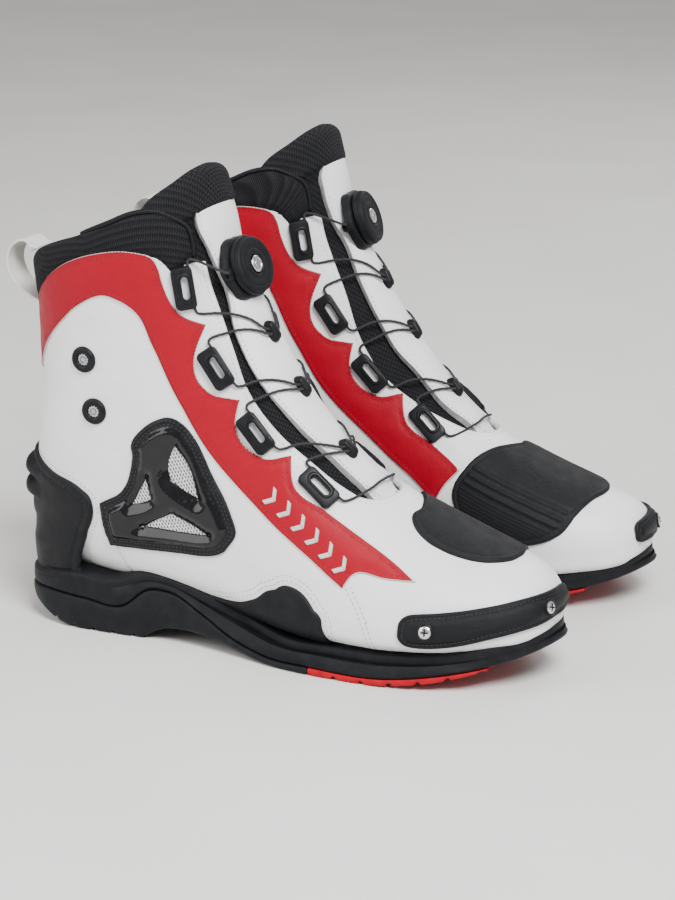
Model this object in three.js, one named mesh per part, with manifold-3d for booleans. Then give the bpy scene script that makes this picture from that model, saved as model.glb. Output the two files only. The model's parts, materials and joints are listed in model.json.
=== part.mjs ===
// A pair of short motorcycle riding boots with dial lacing. Units are millimetres.
// One boot is built as a right boot: x runs from heel to toe, +y is the inner side of the foot,
// z is up and the ground is z = 0. The left boot is its mirror image.
import * as THREE from "three";
import { mergeVertices } from "three/addons/utils/BufferGeometryUtils.js";
import Module from "manifold-3d";

const wasm = await Module();
wasm.setup();

// Driving dimensions.
const BOOT_SPACING = 136; // between the two boots' centre planes
const GAP = 0.35; // air between two pieces that touch on the real boot
const LEATHER = 3.6; // outer leather with its lining
const OVERLAY = 1.3; // a leather panel sewn on top of the upper
const GUARD = 3.2; // the moulded ankle guards, toe slider and lace guides
const KNIT = 4; // the padded knit of the collar and tongue
const LACE_RADIUS = 1.1;
const REACH = 70; // far enough sideways for a cutting prism to clear a boot

// The upper's outer form: sections that fan out from the toe, over the instep and up the leg.
// Columns: top end [x, z], low end [x, z], outer half width, inner half width, how far the top
// leans to the inner side, height of the widest place as a share of the section, and the powers
// that round the top, the bottom and the sides (1 is an ellipse, less is boxier).
const SECTIONS = [
  [[291, 38], [291, 30], 5, 5, 0, 0.4, 0.9, 0.7, 0.9],
  [[289.5, 44], [289.5, 26], 14, 13, 0, 0.38, 0.9, 0.6, 0.9],
  [[285, 50], [285, 22], 24, 23, 1, 0.34, 0.9, 0.5, 0.9],
  [[273, 57], [273, 19], 35, 34, 3, 0.3, 0.9, 0.45, 0.9],
  [[252, 64], [252, 16], 44, 42.5, 5, 0.27, 0.95, 0.4, 0.92],
  [[226, 74], [225, 13], 49, 46, 6, 0.25, 1, 0.4, 0.95],
  [[201, 86], [194, 12], 49.5, 44.5, 5, 0.25, 1, 0.4, 0.95],
  [[179, 103], [157, 14], 46, 39, 2, 0.27, 0.95, 0.4, 0.95],
  [[159, 125], [117, 20], 41.5, 36, 0, 0.31, 0.9, 0.42, 0.9],
  [[143, 148], [74, 24], 39, 37, 0, 0.36, 0.88, 0.45, 0.88],
  [[130.5, 169], [34, 25], 38.5, 37.5, 0, 0.42, 0.86, 0.55, 0.88],
  [[123, 183], [7, 36], 38.5, 38, 0, 0.45, 0.88, 0.72, 0.9],
  [[117, 195], [-2, 68], 39, 38.5, 0, 0.46, 0.9, 0.88, 0.92],
  [[113, 207], [2, 112], 40, 40, 0, 0.46, 0.9, 0.95, 0.95],
  [[109, 221], [4, 158], 41.5, 41.5, 0, 0.46, 0.9, 1, 0.95],
  [[104, 238], [0, 200], 43, 43, 0, 0.46, 0.9, 1, 0.95],
  [[99, 256], [-3, 238], 43, 43, 0, 0.46, 0.9, 1, 0.95],
];
const COLUMN_NAMES = ["outer", "inner", "lean", "wide", "roundTop", "roundLow", "roundSide"];
const SIDES_OF_FORM = 20;

function catmull(a, b, c, d, t) {
  const linear = 2 * b + (c - a) * t;
  const square = (2 * a - 5 * b + 4 * c - d) * t * t;
  const cube = (3 * b - a - 3 * c + d) * t * t * t;
  return 0.5 * (linear + square + cube);
}

// Every column of the section table at v, which counts sections from the toe.
function sectionAt(v) {
  const last = SECTIONS.length - 1;
  const i = Math.min(Math.floor(v), last - 1);
  const row = (k) => SECTIONS[Math.min(Math.max(k, 0), last)];
  const mix = (pick) => catmull(pick(row(i - 1)), pick(row(i)), pick(row(i + 1)), pick(row(i + 2)), v - i);
  const section = {
    top: new THREE.Vector2(mix((s) => s[0][0]), mix((s) => s[0][1])),
    low: new THREE.Vector2(mix((s) => s[1][0]), mix((s) => s[1][1])),
  };
  COLUMN_NAMES.forEach((name, k) => {
    section[name] = mix((s) => s[k + 2]);
  });
  return section;
}

// The point at section v and angle a round it, a distance `out` off the form. Angle 0 is the top
// or front of the section and positive angles turn to the outer side.
function formPoint(v, a, out = 0) {
  const s = sectionAt(v);
  const axis = s.top.clone().sub(s.low);
  const length = axis.length();
  axis.divideScalar(length);
  const grow = Math.max(out, 1 - length / 2);
  const c = Math.cos(a);
  const side = Math.abs(Math.sin(a)) ** s.roundSide * Math.sign(Math.sin(a));
  const rise = c >= 0 ? (1 - s.wide) * c ** s.roundTop : -s.wide * Math.abs(c) ** s.roundLow;
  const along = (s.wide + rise) * (length + 2 * grow) - grow;
  const half = Math.max((side > 0 ? s.outer : s.inner) + out, 1);
  const toeShift = out * Math.max(1 - v / 2, 0);
  const y = s.lean * Math.max(c, 0) - half * side;
  return new THREE.Vector3(s.low.x + axis.x * along + toeShift, y, s.low.y + axis.y * along);
}

// The outward normal of the form.
function formNormal(v, a) {
  const step = 0.02;
  const alongV = formPoint(v + step, a).sub(formPoint(v - step, a));
  const alongA = formPoint(v, a + step).sub(formPoint(v, a - step));
  return alongV.cross(alongA).normalize();
}

// The (v, a) whose point has the smallest miss, found by searching ever finer grids.
function findOnForm(miss, vFrom, vTo, aFrom, aTo) {
  const STEPS = 12;
  let best = [(vFrom + vTo) / 2, (aFrom + aTo) / 2];
  let spanV = vTo - vFrom;
  let spanA = aTo - aFrom;
  for (let round = 0; round < 6; round++) {
    const [v0, a0] = best;
    let least = Infinity;
    for (let i = 0; i <= STEPS; i++) {
      for (let j = 0; j <= STEPS; j++) {
        const v = v0 + spanV * (i / STEPS - 0.5);
        const a = a0 + spanA * (j / STEPS - 0.5);
        const value = miss(formPoint(v, a));
        if (value < least) {
          least = value;
          best = [v, a];
        }
      }
    }
    spanV *= 0.3;
    spanA *= 0.3;
  }
  return best;
}

// The form's (v, a) at x and z on one side: +1 is the outer side, -1 the inner.
function atSideView(x, z, side) {
  const miss = (p) => (p.x - x) ** 2 + (p.z - z) ** 2;
  return findOnForm(miss, 1, 16, side > 0 ? 0.1 : -2.2, side > 0 ? 2.2 : -0.1);
}

// The throat's frame: `along` measures up the throat line from its base, and the line leans back.
const THROAT_BASE = new THREE.Vector3(193, 0, 84);
const THROAT_TOP = new THREE.Vector3(104, 0, 225);
const THROAT_UP = THROAT_TOP.clone().sub(THROAT_BASE).normalize();
const THROAT_OUT = new THREE.Vector3(0, 1, 0).cross(THROAT_UP);

function atThroat(y, along) {
  const miss = (p) => (p.y - y) ** 2 + (p.clone().sub(THROAT_BASE).dot(THROAT_UP) - along) ** 2;
  return findOnForm(miss, 6, 16, -1.4, 1.4);
}

// A three.js geometry as a solid for joining and cutting.
function solid(geometry) {
  const bare = new THREE.BufferGeometry();
  bare.setAttribute("position", geometry.getAttribute("position"));
  if (geometry.index) bare.setIndex(geometry.index);
  const merged = mergeVertices(bare, 1e-4);
  const mesh = new wasm.Mesh({
    numProp: 3,
    vertProperties: new Float32Array(merged.getAttribute("position").array),
    triVerts: new Uint32Array(merged.index.array),
  });
  mesh.merge();
  return new wasm.Manifold(mesh);
}

// The closed form, a distance `out` off the upper's surface.
function form(out, rowsPerSection = 1) {
  const rows = (SECTIONS.length - 1) * rowsPerSection + 1;
  const positions = [];
  const index = [];
  for (let r = 0; r < rows; r++) {
    for (let c = 0; c < SIDES_OF_FORM; c++) {
      positions.push(...formPoint(r / rowsPerSection, (c / SIDES_OF_FORM) * 2 * Math.PI, out));
    }
  }
  for (let r = 0; r + 1 < rows; r++) {
    for (let c = 0; c < SIDES_OF_FORM; c++) {
      const here = r * SIDES_OF_FORM + c;
      const next = r * SIDES_OF_FORM + ((c + 1) % SIDES_OF_FORM);
      index.push(here, next + SIDES_OF_FORM, next);
      index.push(here, here + SIDES_OF_FORM, next + SIDES_OF_FORM);
    }
  }
  for (let c = 1; c + 1 < SIDES_OF_FORM; c++) {
    const lastRow = (rows - 1) * SIDES_OF_FORM;
    index.push(0, c, c + 1);
    index.push(lastRow, lastRow + c + 1, lastRow + c);
  }
  const geometry = new THREE.BufferGeometry();
  geometry.setAttribute("position", new THREE.Float32BufferAttribute(positions, 3));
  geometry.setIndex(index);
  return solid(geometry);
}

function shell(outside, inside) {
  return form(outside).subtract(form(inside));
}

function polygon(points) {
  return new THREE.Shape(points.map(([u, w]) => new THREE.Vector2(u, w)));
}

// An outline seen from the side, as [x, z] points, running from y0 to y1.
function sidePrism(points, y0 = -REACH, y1 = REACH) {
  const geometry = new THREE.ExtrudeGeometry(polygon(points), { depth: y1 - y0, bevelEnabled: false });
  geometry.rotateX(Math.PI / 2);
  geometry.translate(0, y1, 0);
  return solid(geometry);
}

// An outline seen from above, as [x, y] points.
function planPrism(points, z0, z1) {
  const geometry = new THREE.ExtrudeGeometry(polygon(points), { depth: z1 - z0, bevelEnabled: false });
  geometry.translate(0, 0, z0);
  return solid(geometry);
}

// An outline seen along the throat, as [y, along] points.
function throatPrism(points) {
  const THROAT_DEPTH = 38;
  const THROAT_PROUD = 40;
  const geometry = new THREE.ExtrudeGeometry(polygon(points), {
    depth: THROAT_DEPTH + THROAT_PROUD,
    bevelEnabled: false,
  });
  geometry.translate(0, 0, -THROAT_DEPTH);
  const across = new THREE.Vector3(0, 1, 0);
  const frame = new THREE.Matrix4().makeBasis(across, THROAT_UP, THROAT_OUT).setPosition(THROAT_BASE);
  return solid(geometry.applyMatrix4(frame));
}

// A piece of the form's skin inside a side view outline on one side of the boot.
function panel(outline, side, thickness) {
  const cutter = side > 0 ? sidePrism(outline, -REACH, -GAP) : sidePrism(outline, GAP, REACH);
  return shell(GAP + thickness, GAP).intersect(cutter);
}

// Sole outline seen from above, [x, y], from the heel's back along the outer side and round again.
const SOLE_OUTLINE = [
  [-4, 0], [-2, -15], [7, -28], [24, -36], [50, -38], [82, -37.5], [108, -39.5], [137, -45], [165, -51],
  [195, -53.5], [225, -52.5], [249, -47], [269, -37], [284, -24], [293, -10], [295, 0],
  [292, 11], [283, 23], [270, 33], [250, 41], [228, 46], [205, 48], [184, 46], [160, 41], [138, 37],
  [110, 35], [82, 35], [50, 37], [24, 35.5], [7, 28], [-2, 15],
];
// Side view lines of the sole, [x, z] from heel to toe.
const GROUND_HEEL = [[-6, 13], [9, 8], [22, 2.5], [36, 0], [74, 0], [80, 3.5], [88, 7], [98, 8]];
const GROUND_ARCH = [[119, 6.5], [150, 0.6], [176, 0.3]];
const GROUND_FRONT = [[177, 0.3], [215, 0.3], [244, 4.5], [268, 11], [283, 18], [299, 31]];
const WAVE = [
  [-6, 17], [10, 18], [25, 18], [40, 17], [62, 15.5], [80, 27], [92, 27], [110, 19], [130, 9.5],
  [150, 4.6], [176, 4.2],
];
const TREAD_THICKNESS = 3.2;
const MIDSOLE_TOP = [
  [-8, 27.5], [5, 28.5], [20, 30.5], [38, 32], [57, 30.5], [74, 35], [88, 34], [113, 28], [130, 22], [158, 14],
  [184, 14.5], [215, 14.5], [251, 18], [270, 24], [283, 29.5], [291, 33], [299, 38],
];

const raise = (line, by) => line.map(([x, z]) => [x, z + by]);
const backwards = (line) => [...line].reverse();

function soleLayer(bottom, top) {
  return planPrism(SOLE_OUTLINE, -1, 60).intersect(sidePrism([...bottom, ...backwards(top)]));
}

const outsole = soleLayer([...GROUND_HEEL, ...GROUND_ARCH], WAVE).subtract(form(GAP));

const treadTop = raise(GROUND_FRONT.slice(0, 5), TREAD_THICKNESS);
let tread = soleLayer(GROUND_FRONT.slice(0, 5), treadTop);
// Cross grooves in the tread.
const GROOVE_DEPTH = 1.4;
for (let x = 193; x < 270; x += 15) {
  const under = x < 220 ? 0.3 : 0.3 + (x - 215) * 0.19;
  const groove = [
    [x - 1.5, under - 4], [x + 1.5, under - 4], [x + 1.5, under + GROOVE_DEPTH],
    [x - 1.5, under + GROOVE_DEPTH],
  ];
  tread = tread.subtract(sidePrism(groove));
}

const midsoleBottom = [...raise(WAVE, GAP), ...raise(treadTop, GAP), [299, 31.5]];
const midsole = soleLayer(midsoleBottom, MIDSOLE_TOP).subtract(form(GAP));

// The side of the throat where the leather flaps end, [y, along].
const THROAT_EDGE_OUTER = [
  [-19, 0], [-23, 12], [-25, 28], [-28, 50], [-28, 80], [-26, 105], [-26, 125], [-26, 150], [-27, 190],
];
const THROAT_EDGE_INNER = [
  [27, 190], [26, 150], [25, 125], [26, 105], [27, 80], [26, 50], [24, 28], [22, 12], [18, 0],
];
const THROAT = [...THROAT_EDGE_OUTER, ...THROAT_EDGE_INNER];

// Side view of where the leather ends below the knit collar, from the heel to the throat.
const LEATHER_TOP = [
  [-12, 150], [2, 158], [6, 168], [14, 179], [24, 189], [40, 199], [55, 204], [69, 206], [84, 203],
  [90, 200], [101, 201], [120, 205],
];
const aboveLeather = [...LEATHER_TOP, [140, 205], [140, 300], [-40, 300], [-40, 150]];

const upper = shell(0, -LEATHER).subtract(throatPrism(THROAT)).subtract(sidePrism(aboveLeather));

const FOOTBED_TOP = [
  [8, 46], [34, 34], [74, 33], [117, 29], [157, 23.5], [194, 21.5], [225, 22.5], [252, 25.5],
  [264, 28],
];
const footbedSide = [[264, 0], [8, 0], ...FOOTBED_TOP].reverse();
const footbed = form(-LEATHER - 2 * GAP).intersect(sidePrism(footbedSide));

const COLLAR_TOP = [
  [-14, 187], [-3, 190], [3, 195], [10, 199], [27, 206], [45, 212], [62, 220], [76, 225], [90, 226],
  [98, 224], [104, 217], [105, 209], [100, 202.5],
];
const throatForCollar = THROAT.map(([y, along]) => [y + Math.sign(y) * 0.6, along]);
const collarOutline = [...raise(LEATHER_TOP.slice(0, 10), GAP), ...backwards(COLLAR_TOP)];
const collar = shell(0.8, -KNIT).intersect(sidePrism(collarOutline)).subtract(throatPrism(throatForCollar));

// The knit tongue lies under the flaps and its wings run back inside the collar.
const TONGUE_BODY = [
  [-30, -14], [-38, 20], [-40, 60], [-38, 100], [-37, 175], [37, 175], [38, 100], [39, 60], [36, 20],
  [28, -14],
];
const TONGUE_TOP = [[64, 190], [64, 226], [72, 233], [86, 242], [104, 249], [130, 252], [130, 190]];
const tongueSkin = shell(-KNIT - GAP, -KNIT * 2 - GAP);
const aboveTongue = [[40, 242], [86, 242], [104, 249], [150, 252], [150, 300], [40, 300]];
const tongueFront = throatPrism(TONGUE_BODY).subtract(sidePrism(aboveTongue));
const tongue = tongueSkin.intersect(tongueFront.add(sidePrism(TONGUE_TOP)));

const RED_OUTLINE = [
  [-12, 131], [5, 131], [12, 141], [18, 151], [31, 165], [44, 176], [58, 182], [66, 180], [74, 175], [83, 157],
  [98, 129], [116, 104], [150, 75], [177, 57], [194, 46], [200, 54], [215, 52], [230, 52], [220, 58], [190, 74],
  [179, 81], [160, 94], [155, 106], [143, 105], [128, 121], [128, 132], [115, 135], [105, 155], [108, 168],
  [95, 175], [88, 195], [86, 201.5], [79, 204], [69, 205.5], [55, 203.5], [40, 198.5], [24, 188.5], [14, 178.5],
  [6, 167.5], [2, 157.5], [-12, 149.5],
];
const PAD_OUTLINE = [
  [214, 2], [210, 14], [197, 34], [180, 52], [258, 52], [262, 38], [266, 22], [270, 1], [264, -11], [250, -18],
  [237, -20], [227, -19], [219, -15], [215, -9],
];
const PAD_LOW = 34;
const PAD_THICKNESS = 2.4;
const shiftPad = shell(GAP + PAD_THICKNESS, GAP).intersect(planPrism(PAD_OUTLINE, PAD_LOW, 120));
const padClearance = planPrism(PAD_OUTLINE, 20, 130).translate([-1, 0, 0]);
const innerPanelEnd = [[185, 30], [240, 30], [240, 90], [185, 90]];
const redOuter = panel(RED_OUTLINE, 1, OVERLAY);
const throatEdgeClearance = throatPrism(THROAT.map(([y, along]) => [y + Math.sign(y) * 1.5, along]));
const redInner = panel(RED_OUTLINE, -1, OVERLAY)
  .subtract(padClearance)
  .subtract(sidePrism(innerPanelEnd));

const COUNTER_OUTLINE = [
  [-14, 28.2], [5, 29.2], [20, 31.2], [38, 32.8], [42, 52], [47, 64], [46, 72], [40, 77], [22, 83],
  [9, 87], [1, 92], [-14, 93],
];
const COUNTER_RIBS = [67, 78]; // the lower edges of the two ribs across the back
const RIB_HEIGHT = 6.5;
const RIB_PROUD = 6;
let counter = shell(GAP + 2.2, GAP).intersect(sidePrism(COUNTER_OUTLINE));
for (const z of COUNTER_RIBS) {
  const rib = [[-20, z], [6, z - 1], [7, z + RIB_HEIGHT - 1.5], [-20, z + RIB_HEIGHT]];
  counter = counter.add(shell(GAP + RIB_PROUD, GAP).intersect(sidePrism(rib)));
}

const RAND_OUTLINE = [
  [113, 28.5], [130, 28.5], [144, 33], [153, 40], [161, 44], [170, 42], [179, 34], [185, 22],
  [188, 15], [158, 14.5], [130, 22.5],
];
const rand = panel(RAND_OUTLINE, 1, OVERLAY + 0.4);

const GUARD_OUTLINE = [
  [88, 120], [77, 113], [72, 107], [72, 98], [69, 85], [66, 80], [52, 71], [57, 48.5], [90, 50], [119, 52], [127, 57],
  [132, 66], [129, 74], [117, 94], [107, 111], [100, 118],
];
const GUARD_HOLES = [
  [[96, 109], [91, 100], [93, 88], [100, 84], [111, 79]],
  [[80, 90], [70, 72], [83, 76]],
  [[75, 61], [95, 72], [118, 62]],
];
function guard(side) {
  let piece = panel(GUARD_OUTLINE, side, GUARD);
  for (const hole of GUARD_HOLES) piece = piece.subtract(sidePrism(hole));
  return piece;
}

const SLIDER_OUTLINE = [
  [225, 25], [226, 34], [232, 38.5], [245, 40], [259, 42], [276, 46.5], [289, 46], [296, 44], [296, 38.5], [284, 34],
  [272, 29], [255, 24], [235, 22.8], [228, 22.8],
];
const slider = shell(GAP + GUARD, GAP).intersect(sidePrism(SLIDER_OUTLINE, -REACH, 12));

// The white tongue shield, [y, along], with three loops that carry the lace.
const SHIELD_OUTLINE = [
  [-13, 3.5], [-13, 10], [-14, 25], [-18.5, 50], [-21, 80], [-20, 104], [-15.5, 128], [-18, 148], [-21, 168],
  [-19, 172], [11, 164], [13, 158], [14, 140], [12.5, 123], [15, 104], [16, 80], [16, 58], [14, 44], [15.5, 22],
  [14, 5], [12, 3.5],
];
const SHIELD_THICKNESS = 3.6;
const shieldSkin = shell(-KNIT + SHIELD_THICKNESS, -KNIT);
let shield = shieldSkin.intersect(throatPrism(SHIELD_OUTLINE));

// A box whose third axis is `normal` and whose second axis leans along `up`.
function boxOn(centre, normal, up, size) {
  const across = up.clone().cross(normal).normalize();
  const along = normal.clone().cross(across).normalize();
  const geometry = new THREE.BoxGeometry(...size);
  const frame = new THREE.Matrix4().makeBasis(across, along, normal).setPosition(centre);
  return solid(geometry.applyMatrix4(frame));
}

const LOOP_SIZE = [12, 6.5, 7];
const LOOP_SPOTS = [[-3, 98], [-3, 66], [-2, 27]]; // [y, along] on the shield, from the top down
const LACE_HEIGHT = 2.4;
const loops = LOOP_SPOTS.map(([y, along]) => {
  const [v, a] = atThroat(y, along);
  return { v, a, normal: formNormal(v, a) };
});
for (const { v, a, normal } of loops) {
  shield = shield.add(boxOn(formPoint(v, a, 1.4), normal, THROAT_UP, LOOP_SIZE));
}

// Lace guides: frames on the flaps. Their middles, [x, z] seen from the side, from the top down.
const GUIDE_SPOTS = [[97.5, 187], [115.5, 147], [138.5, 116], [172.5, 91]];
const GUIDE_WIDTH = 11;
const GUIDE_LENGTH = 22;
const GUIDE_SLOT = [3.6, 12];
const GUIDE_BASE = 1.5;
function guideFrame(spot, side) {
  const [v, a] = atSideView(spot[0], spot[1], side);
  const normal = formNormal(v, a);
  const step = 0.12;
  const up = formPoint(v + step, a).sub(formPoint(v - step, a)).normalize();
  return { v, a, normal, up, centre: formPoint(v, a, GUIDE_BASE + GUARD / 2) };
}
function guide(frame) {
  const body = boxOn(frame.centre, frame.normal, frame.up, [GUIDE_WIDTH, GUIDE_LENGTH, GUARD]);
  return body.subtract(boxOn(frame.centre, frame.normal, frame.up, [...GUIDE_SLOT, GUARD * 3]));
}
const guidesOuter = GUIDE_SPOTS.map((spot) => guideFrame(spot, 1));
const guidesInner = GUIDE_SPOTS.map((spot) => guideFrame(spot, -1));

// The dial stands on the shield. Its axis leans a little to the outer side.
const DIAL_ALONG = 134;
const DIAL_Y = -2;
const [dialV, dialA] = atThroat(DIAL_Y, DIAL_ALONG);
const DIAL_SINK = 1.4; // how far the dial sits below the form, in a seat cut in the shield
const DIAL_SEAT = formPoint(dialV, dialA, -DIAL_SINK);
const DIAL_AXIS = new THREE.Vector3(0.93, -0.12, 0.35).normalize();
const BASE_RADIUS = 17.5;
const BASE_HEIGHT = 4.8;
const WELL_RADIUS = 11.5;
const WELL_FLOOR = 1.6;
const SPOOL_HEIGHT = 2.4;
const KNOB_RADIUS = 15.6;
const KNOB_LOW = 5.3;
const KNOB_HIGH = 11;
const SPINDLE_RADIUS = 2.2;
const SHAFT_SIDES = 12;
const HEAD_RADIUS = 4.2;
const DIAL_SIDES = 20;

// A turned piece standing on the dial's axis, from an outline of [radius, height] points.
function turned(points, sides = DIAL_SIDES) {
  const geometry = new THREE.LatheGeometry(points.map(([r, h]) => new THREE.Vector2(r, h)), sides);
  geometry.rotateX(Math.PI / 2);
  const turn = new THREE.Quaternion().setFromUnitVectors(new THREE.Vector3(0, 0, 1), DIAL_AXIS);
  const frame = new THREE.Matrix4().makeRotationFromQuaternion(turn).setPosition(DIAL_SEAT);
  return solid(geometry.applyMatrix4(frame));
}
function disc(radius, low, high, sides) {
  return turned([[0, low], [radius, low], [radius, high], [0, high]], sides);
}

const BORE = SPINDLE_RADIUS + GAP;
const bore = disc(BORE, 0.7, KNOB_HIGH + 8, SHAFT_SIDES);
let dialBase = disc(BASE_RADIUS, 0, BASE_HEIGHT);
dialBase = dialBase.subtract(disc(WELL_RADIUS, WELL_FLOOR, BASE_HEIGHT + 1)).subtract(bore);
const spoolLow = WELL_FLOOR + GAP;
const spool = disc(WELL_RADIUS - 0.6, spoolLow, spoolLow + SPOOL_HEIGHT).subtract(bore);
const headSeat = KNOB_HIGH - 1.4;
let knob = turned([
  [0, KNOB_LOW],
  [KNOB_RADIUS - 0.6, KNOB_LOW],
  [KNOB_RADIUS, KNOB_LOW + 1],
  [KNOB_RADIUS, KNOB_HIGH - 1.6],
  [KNOB_RADIUS - 1.8, KNOB_HIGH],
  [0, KNOB_HIGH],
]);
knob = knob.subtract(bore).subtract(disc(HEAD_RADIUS + GAP, headSeat, KNOB_HIGH + 1, SHAFT_SIDES));
const spindleHead = disc(HEAD_RADIUS, headSeat + GAP, KNOB_HIGH + 0.8, SHAFT_SIDES);
const spindle = disc(SPINDLE_RADIUS, 1, headSeat + 0.5, SHAFT_SIDES).add(spindleHead);

// The lace: out of the dial, down one row of guides and loops, across the throat and up the other.
function onShield(y, along, lift) {
  const [v, a] = atThroat(y, along);
  return formPoint(v, a, lift);
}
function laceSide(guides, side) {
  const points = [];
  const outlet = DIAL_SEAT.clone().addScaledVector(DIAL_AXIS, BASE_HEIGHT / 2);
  outlet.y -= side * (BASE_RADIUS + 0.6);
  outlet.z -= 1;
  points.push(outlet);
  guides.forEach((frame, i) => {
    const half = GUIDE_LENGTH / 2;
    const inGuide = (t) => frame.centre.clone().addScaledVector(frame.up, t);
    const outsideGuide = (t) => {
      const [v, a] = atSideView(inGuide(t).x, inGuide(t).z, side);
      return formPoint(v, a, LACE_HEIGHT + 1.4);
    };
    points.push(outsideGuide(half + 3.5));
    points.push(inGuide(half - 3));
    points.push(inGuide(-half + 3));
    points.push(outsideGuide(-half - 3));
    if (i < loops.length) {
      const loop = loops[i];
      const [y, along] = LOOP_SPOTS[i];
      points.push(onShield(y - side * 7.5, along, LACE_HEIGHT));
      points.push(formPoint(loop.v, loop.a, LACE_HEIGHT));
      points.push(onShield(y - side * 9.5, along - 7, LACE_HEIGHT + 0.4));
    }
  });
  return points;
}
const crossing = [-9, 0, 9].map((y) => onShield(y, 4, 3.2));
const lacePath = [...laceSide(guidesOuter, 1), ...crossing, ...laceSide(guidesInner, -1).reverse()];

function laceTube(radius, sides) {
  const corners = [];
  for (let k = 0; k < sides; k++) {
    const angle = (k / sides) * 2 * Math.PI;
    corners.push([radius * Math.cos(angle), radius * Math.sin(angle)]);
  }
  const curve = new THREE.CatmullRomCurve3(lacePath, false, "centripetal");
  const options = { steps: LACE_STEPS, extrudePath: curve, bevelEnabled: false };
  return solid(new THREE.ExtrudeGeometry(polygon(corners), options));
}
const LACE_STEPS = 80;
const ROOM_SIDES = 6;
const lace = laceTube(LACE_RADIUS, 8);
const laceRoom = laceTube((LACE_RADIUS + GAP + 0.1) / Math.cos(Math.PI / ROOM_SIDES), ROOM_SIDES);
shield = shield.subtract(laceRoom).subtract(disc(BASE_RADIUS + GAP, -GAP, BASE_HEIGHT));
dialBase = dialBase.subtract(laceRoom);

// The webbing pull loop behind the collar: a bent strip.
const LOOP_BAND = [
  [-2, 196.5], [-7, 200], [-15, 197.5], [-19, 191], [-17, 180], [-11, 172], [-1.5, 167], [-2.2, 169.2],
  [-9.8, 174], [-15.2, 181.5], [-17, 191], [-13.6, 195.8], [-7, 198], [-2.6, 194.6],
];
const PULL_WIDTH = 18;
const pullLoop = sidePrism(LOOP_BAND, -PULL_WIDTH / 2, PULL_WIDTH / 2).subtract(form(0.8 + GAP));

const MATERIALS = {
  black_rubber: { color: 0x17181a, roughness: 0.75, metalness: 0 },
  red_rubber: { color: 0xb3262c, roughness: 0.7, metalness: 0 },
  white_leather: { color: 0xe9ecea, roughness: 0.45, metalness: 0 },
  red_leather: { color: 0xc4242f, roughness: 0.4, metalness: 0 },
  black_leather: { color: 0x1d1e20, roughness: 0.55, metalness: 0 },
  black_knit: { color: 0x16171a, roughness: 0.95, metalness: 0 },
  black_plastic: { color: 0x141516, roughness: 0.3, metalness: 0 },
  grey_foam: { color: 0x3a3b3d, roughness: 0.9, metalness: 0 },
  webbing: { color: 0xd9d6c6, roughness: 0.9, metalness: 0 },
  lace_cord: { color: 0x1a1b1d, roughness: 0.6, metalness: 0 },
  silver_metal: { color: 0xb9bbbd, roughness: 0.3, metalness: 0.9 },
};

function redPanel(panelBody, frames) {
  const roomy = [GUIDE_WIDTH + 2 * GAP, GUIDE_LENGTH + 2 * GAP, GUARD * 2];
  let piece = panelBody.subtract(throatEdgeClearance).subtract(laceRoom);
  for (const frame of frames) piece = piece.subtract(boxOn(frame.centre, frame.normal, frame.up, roomy));
  return piece;
}

const pieces = [
  ["outsole", outsole, "black_rubber"],
  ["midsole", midsole, "black_rubber"],
  ["tread_insert", tread, "red_rubber"],
  ["footbed", footbed, "grey_foam"],
  ["upper", upper, "white_leather"],
  ["side_rand", rand, "black_rubber"],
  ["heel_counter", counter, "black_leather"],
  ["collar", collar, "black_knit"],
  ["pull_loop", pullLoop, "webbing"],
  ["red_panel_outer", redPanel(redOuter, guidesOuter), "red_leather"],
  ["red_panel_inner", redPanel(redInner, guidesInner), "red_leather"],
  ["ankle_guard_outer", guard(1), "black_plastic"],
  ["ankle_guard_inner", guard(-1), "black_plastic"],
  ["shift_pad", shiftPad, "black_leather"],
  ["toe_slider", slider, "black_leather"],
  ["tongue", tongue, "black_knit"],
  ["tongue_shield", shield, "white_leather"],
  ["dial_base", dialBase, "black_plastic"],
  ["dial_spool", spool, "black_plastic"],
  ["dial_spindle", spindle, "silver_metal"],
  ["dial_knob", knob, "black_plastic"],
  ["lace", lace, "lace_cord"],
];
for (const [side, frames] of [["outer", guidesOuter], ["inner", guidesInner]]) {
  frames.forEach((frame, i) => {
    const body = guide(frame).subtract(laceRoom);
    pieces.push([`lace_guide_${side}_${i + 1}`, body, "black_plastic"]);
  });
}

function geometryOf(body) {
  const mesh = body.getMesh();
  const geometry = new THREE.BufferGeometry();
  geometry.setAttribute("position", new THREE.Float32BufferAttribute(Array.from(mesh.vertProperties), 3));
  geometry.setIndex(Array.from(mesh.triVerts));
  const flat = geometry.toNonIndexed();
  flat.computeVertexNormals();
  return flat;
}

const pair = new THREE.Group();
pair.name = "riding_boots";
const geometries = pieces.map(([, body]) => geometryOf(body));
const bounds = new THREE.Box3();
for (const geometry of geometries) {
  geometry.computeBoundingBox();
  bounds.union(geometry.boundingBox);
}
const middleX = (bounds.min.x + bounds.max.x) / 2;
const materials = {};
for (const [name, look] of Object.entries(MATERIALS)) {
  materials[name] = new THREE.MeshStandardMaterial({ name, ...look });
}
for (const side of ["right", "left"]) {
  pieces.forEach(([name, , material], i) => {
    const geometry = geometries[i].clone();
    geometry.translate(-middleX, -BOOT_SPACING / 2, -bounds.min.z);
    const mesh = new THREE.Mesh(geometry, materials[material]);
    mesh.name = `${side}_${name}`;
    if (side === "left") mesh.scale.y = -1;
    pair.add(mesh);
  });
}

export default pair;
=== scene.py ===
"""A pair of riding boots with dial lacing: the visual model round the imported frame.

The right boot is made once, in its own millimetres (x from heel to toe, +y to the inner side, z up),
and mirrored for the left. Most pieces are skins: an outline drawn on the boot's form, a surface
whose place is (v, turn), where v counts sections from the toe and turn is the angle round a
section, from the top or front (0) over the outer side to the sole or heel (pi).
"""

import json
import math

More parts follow.
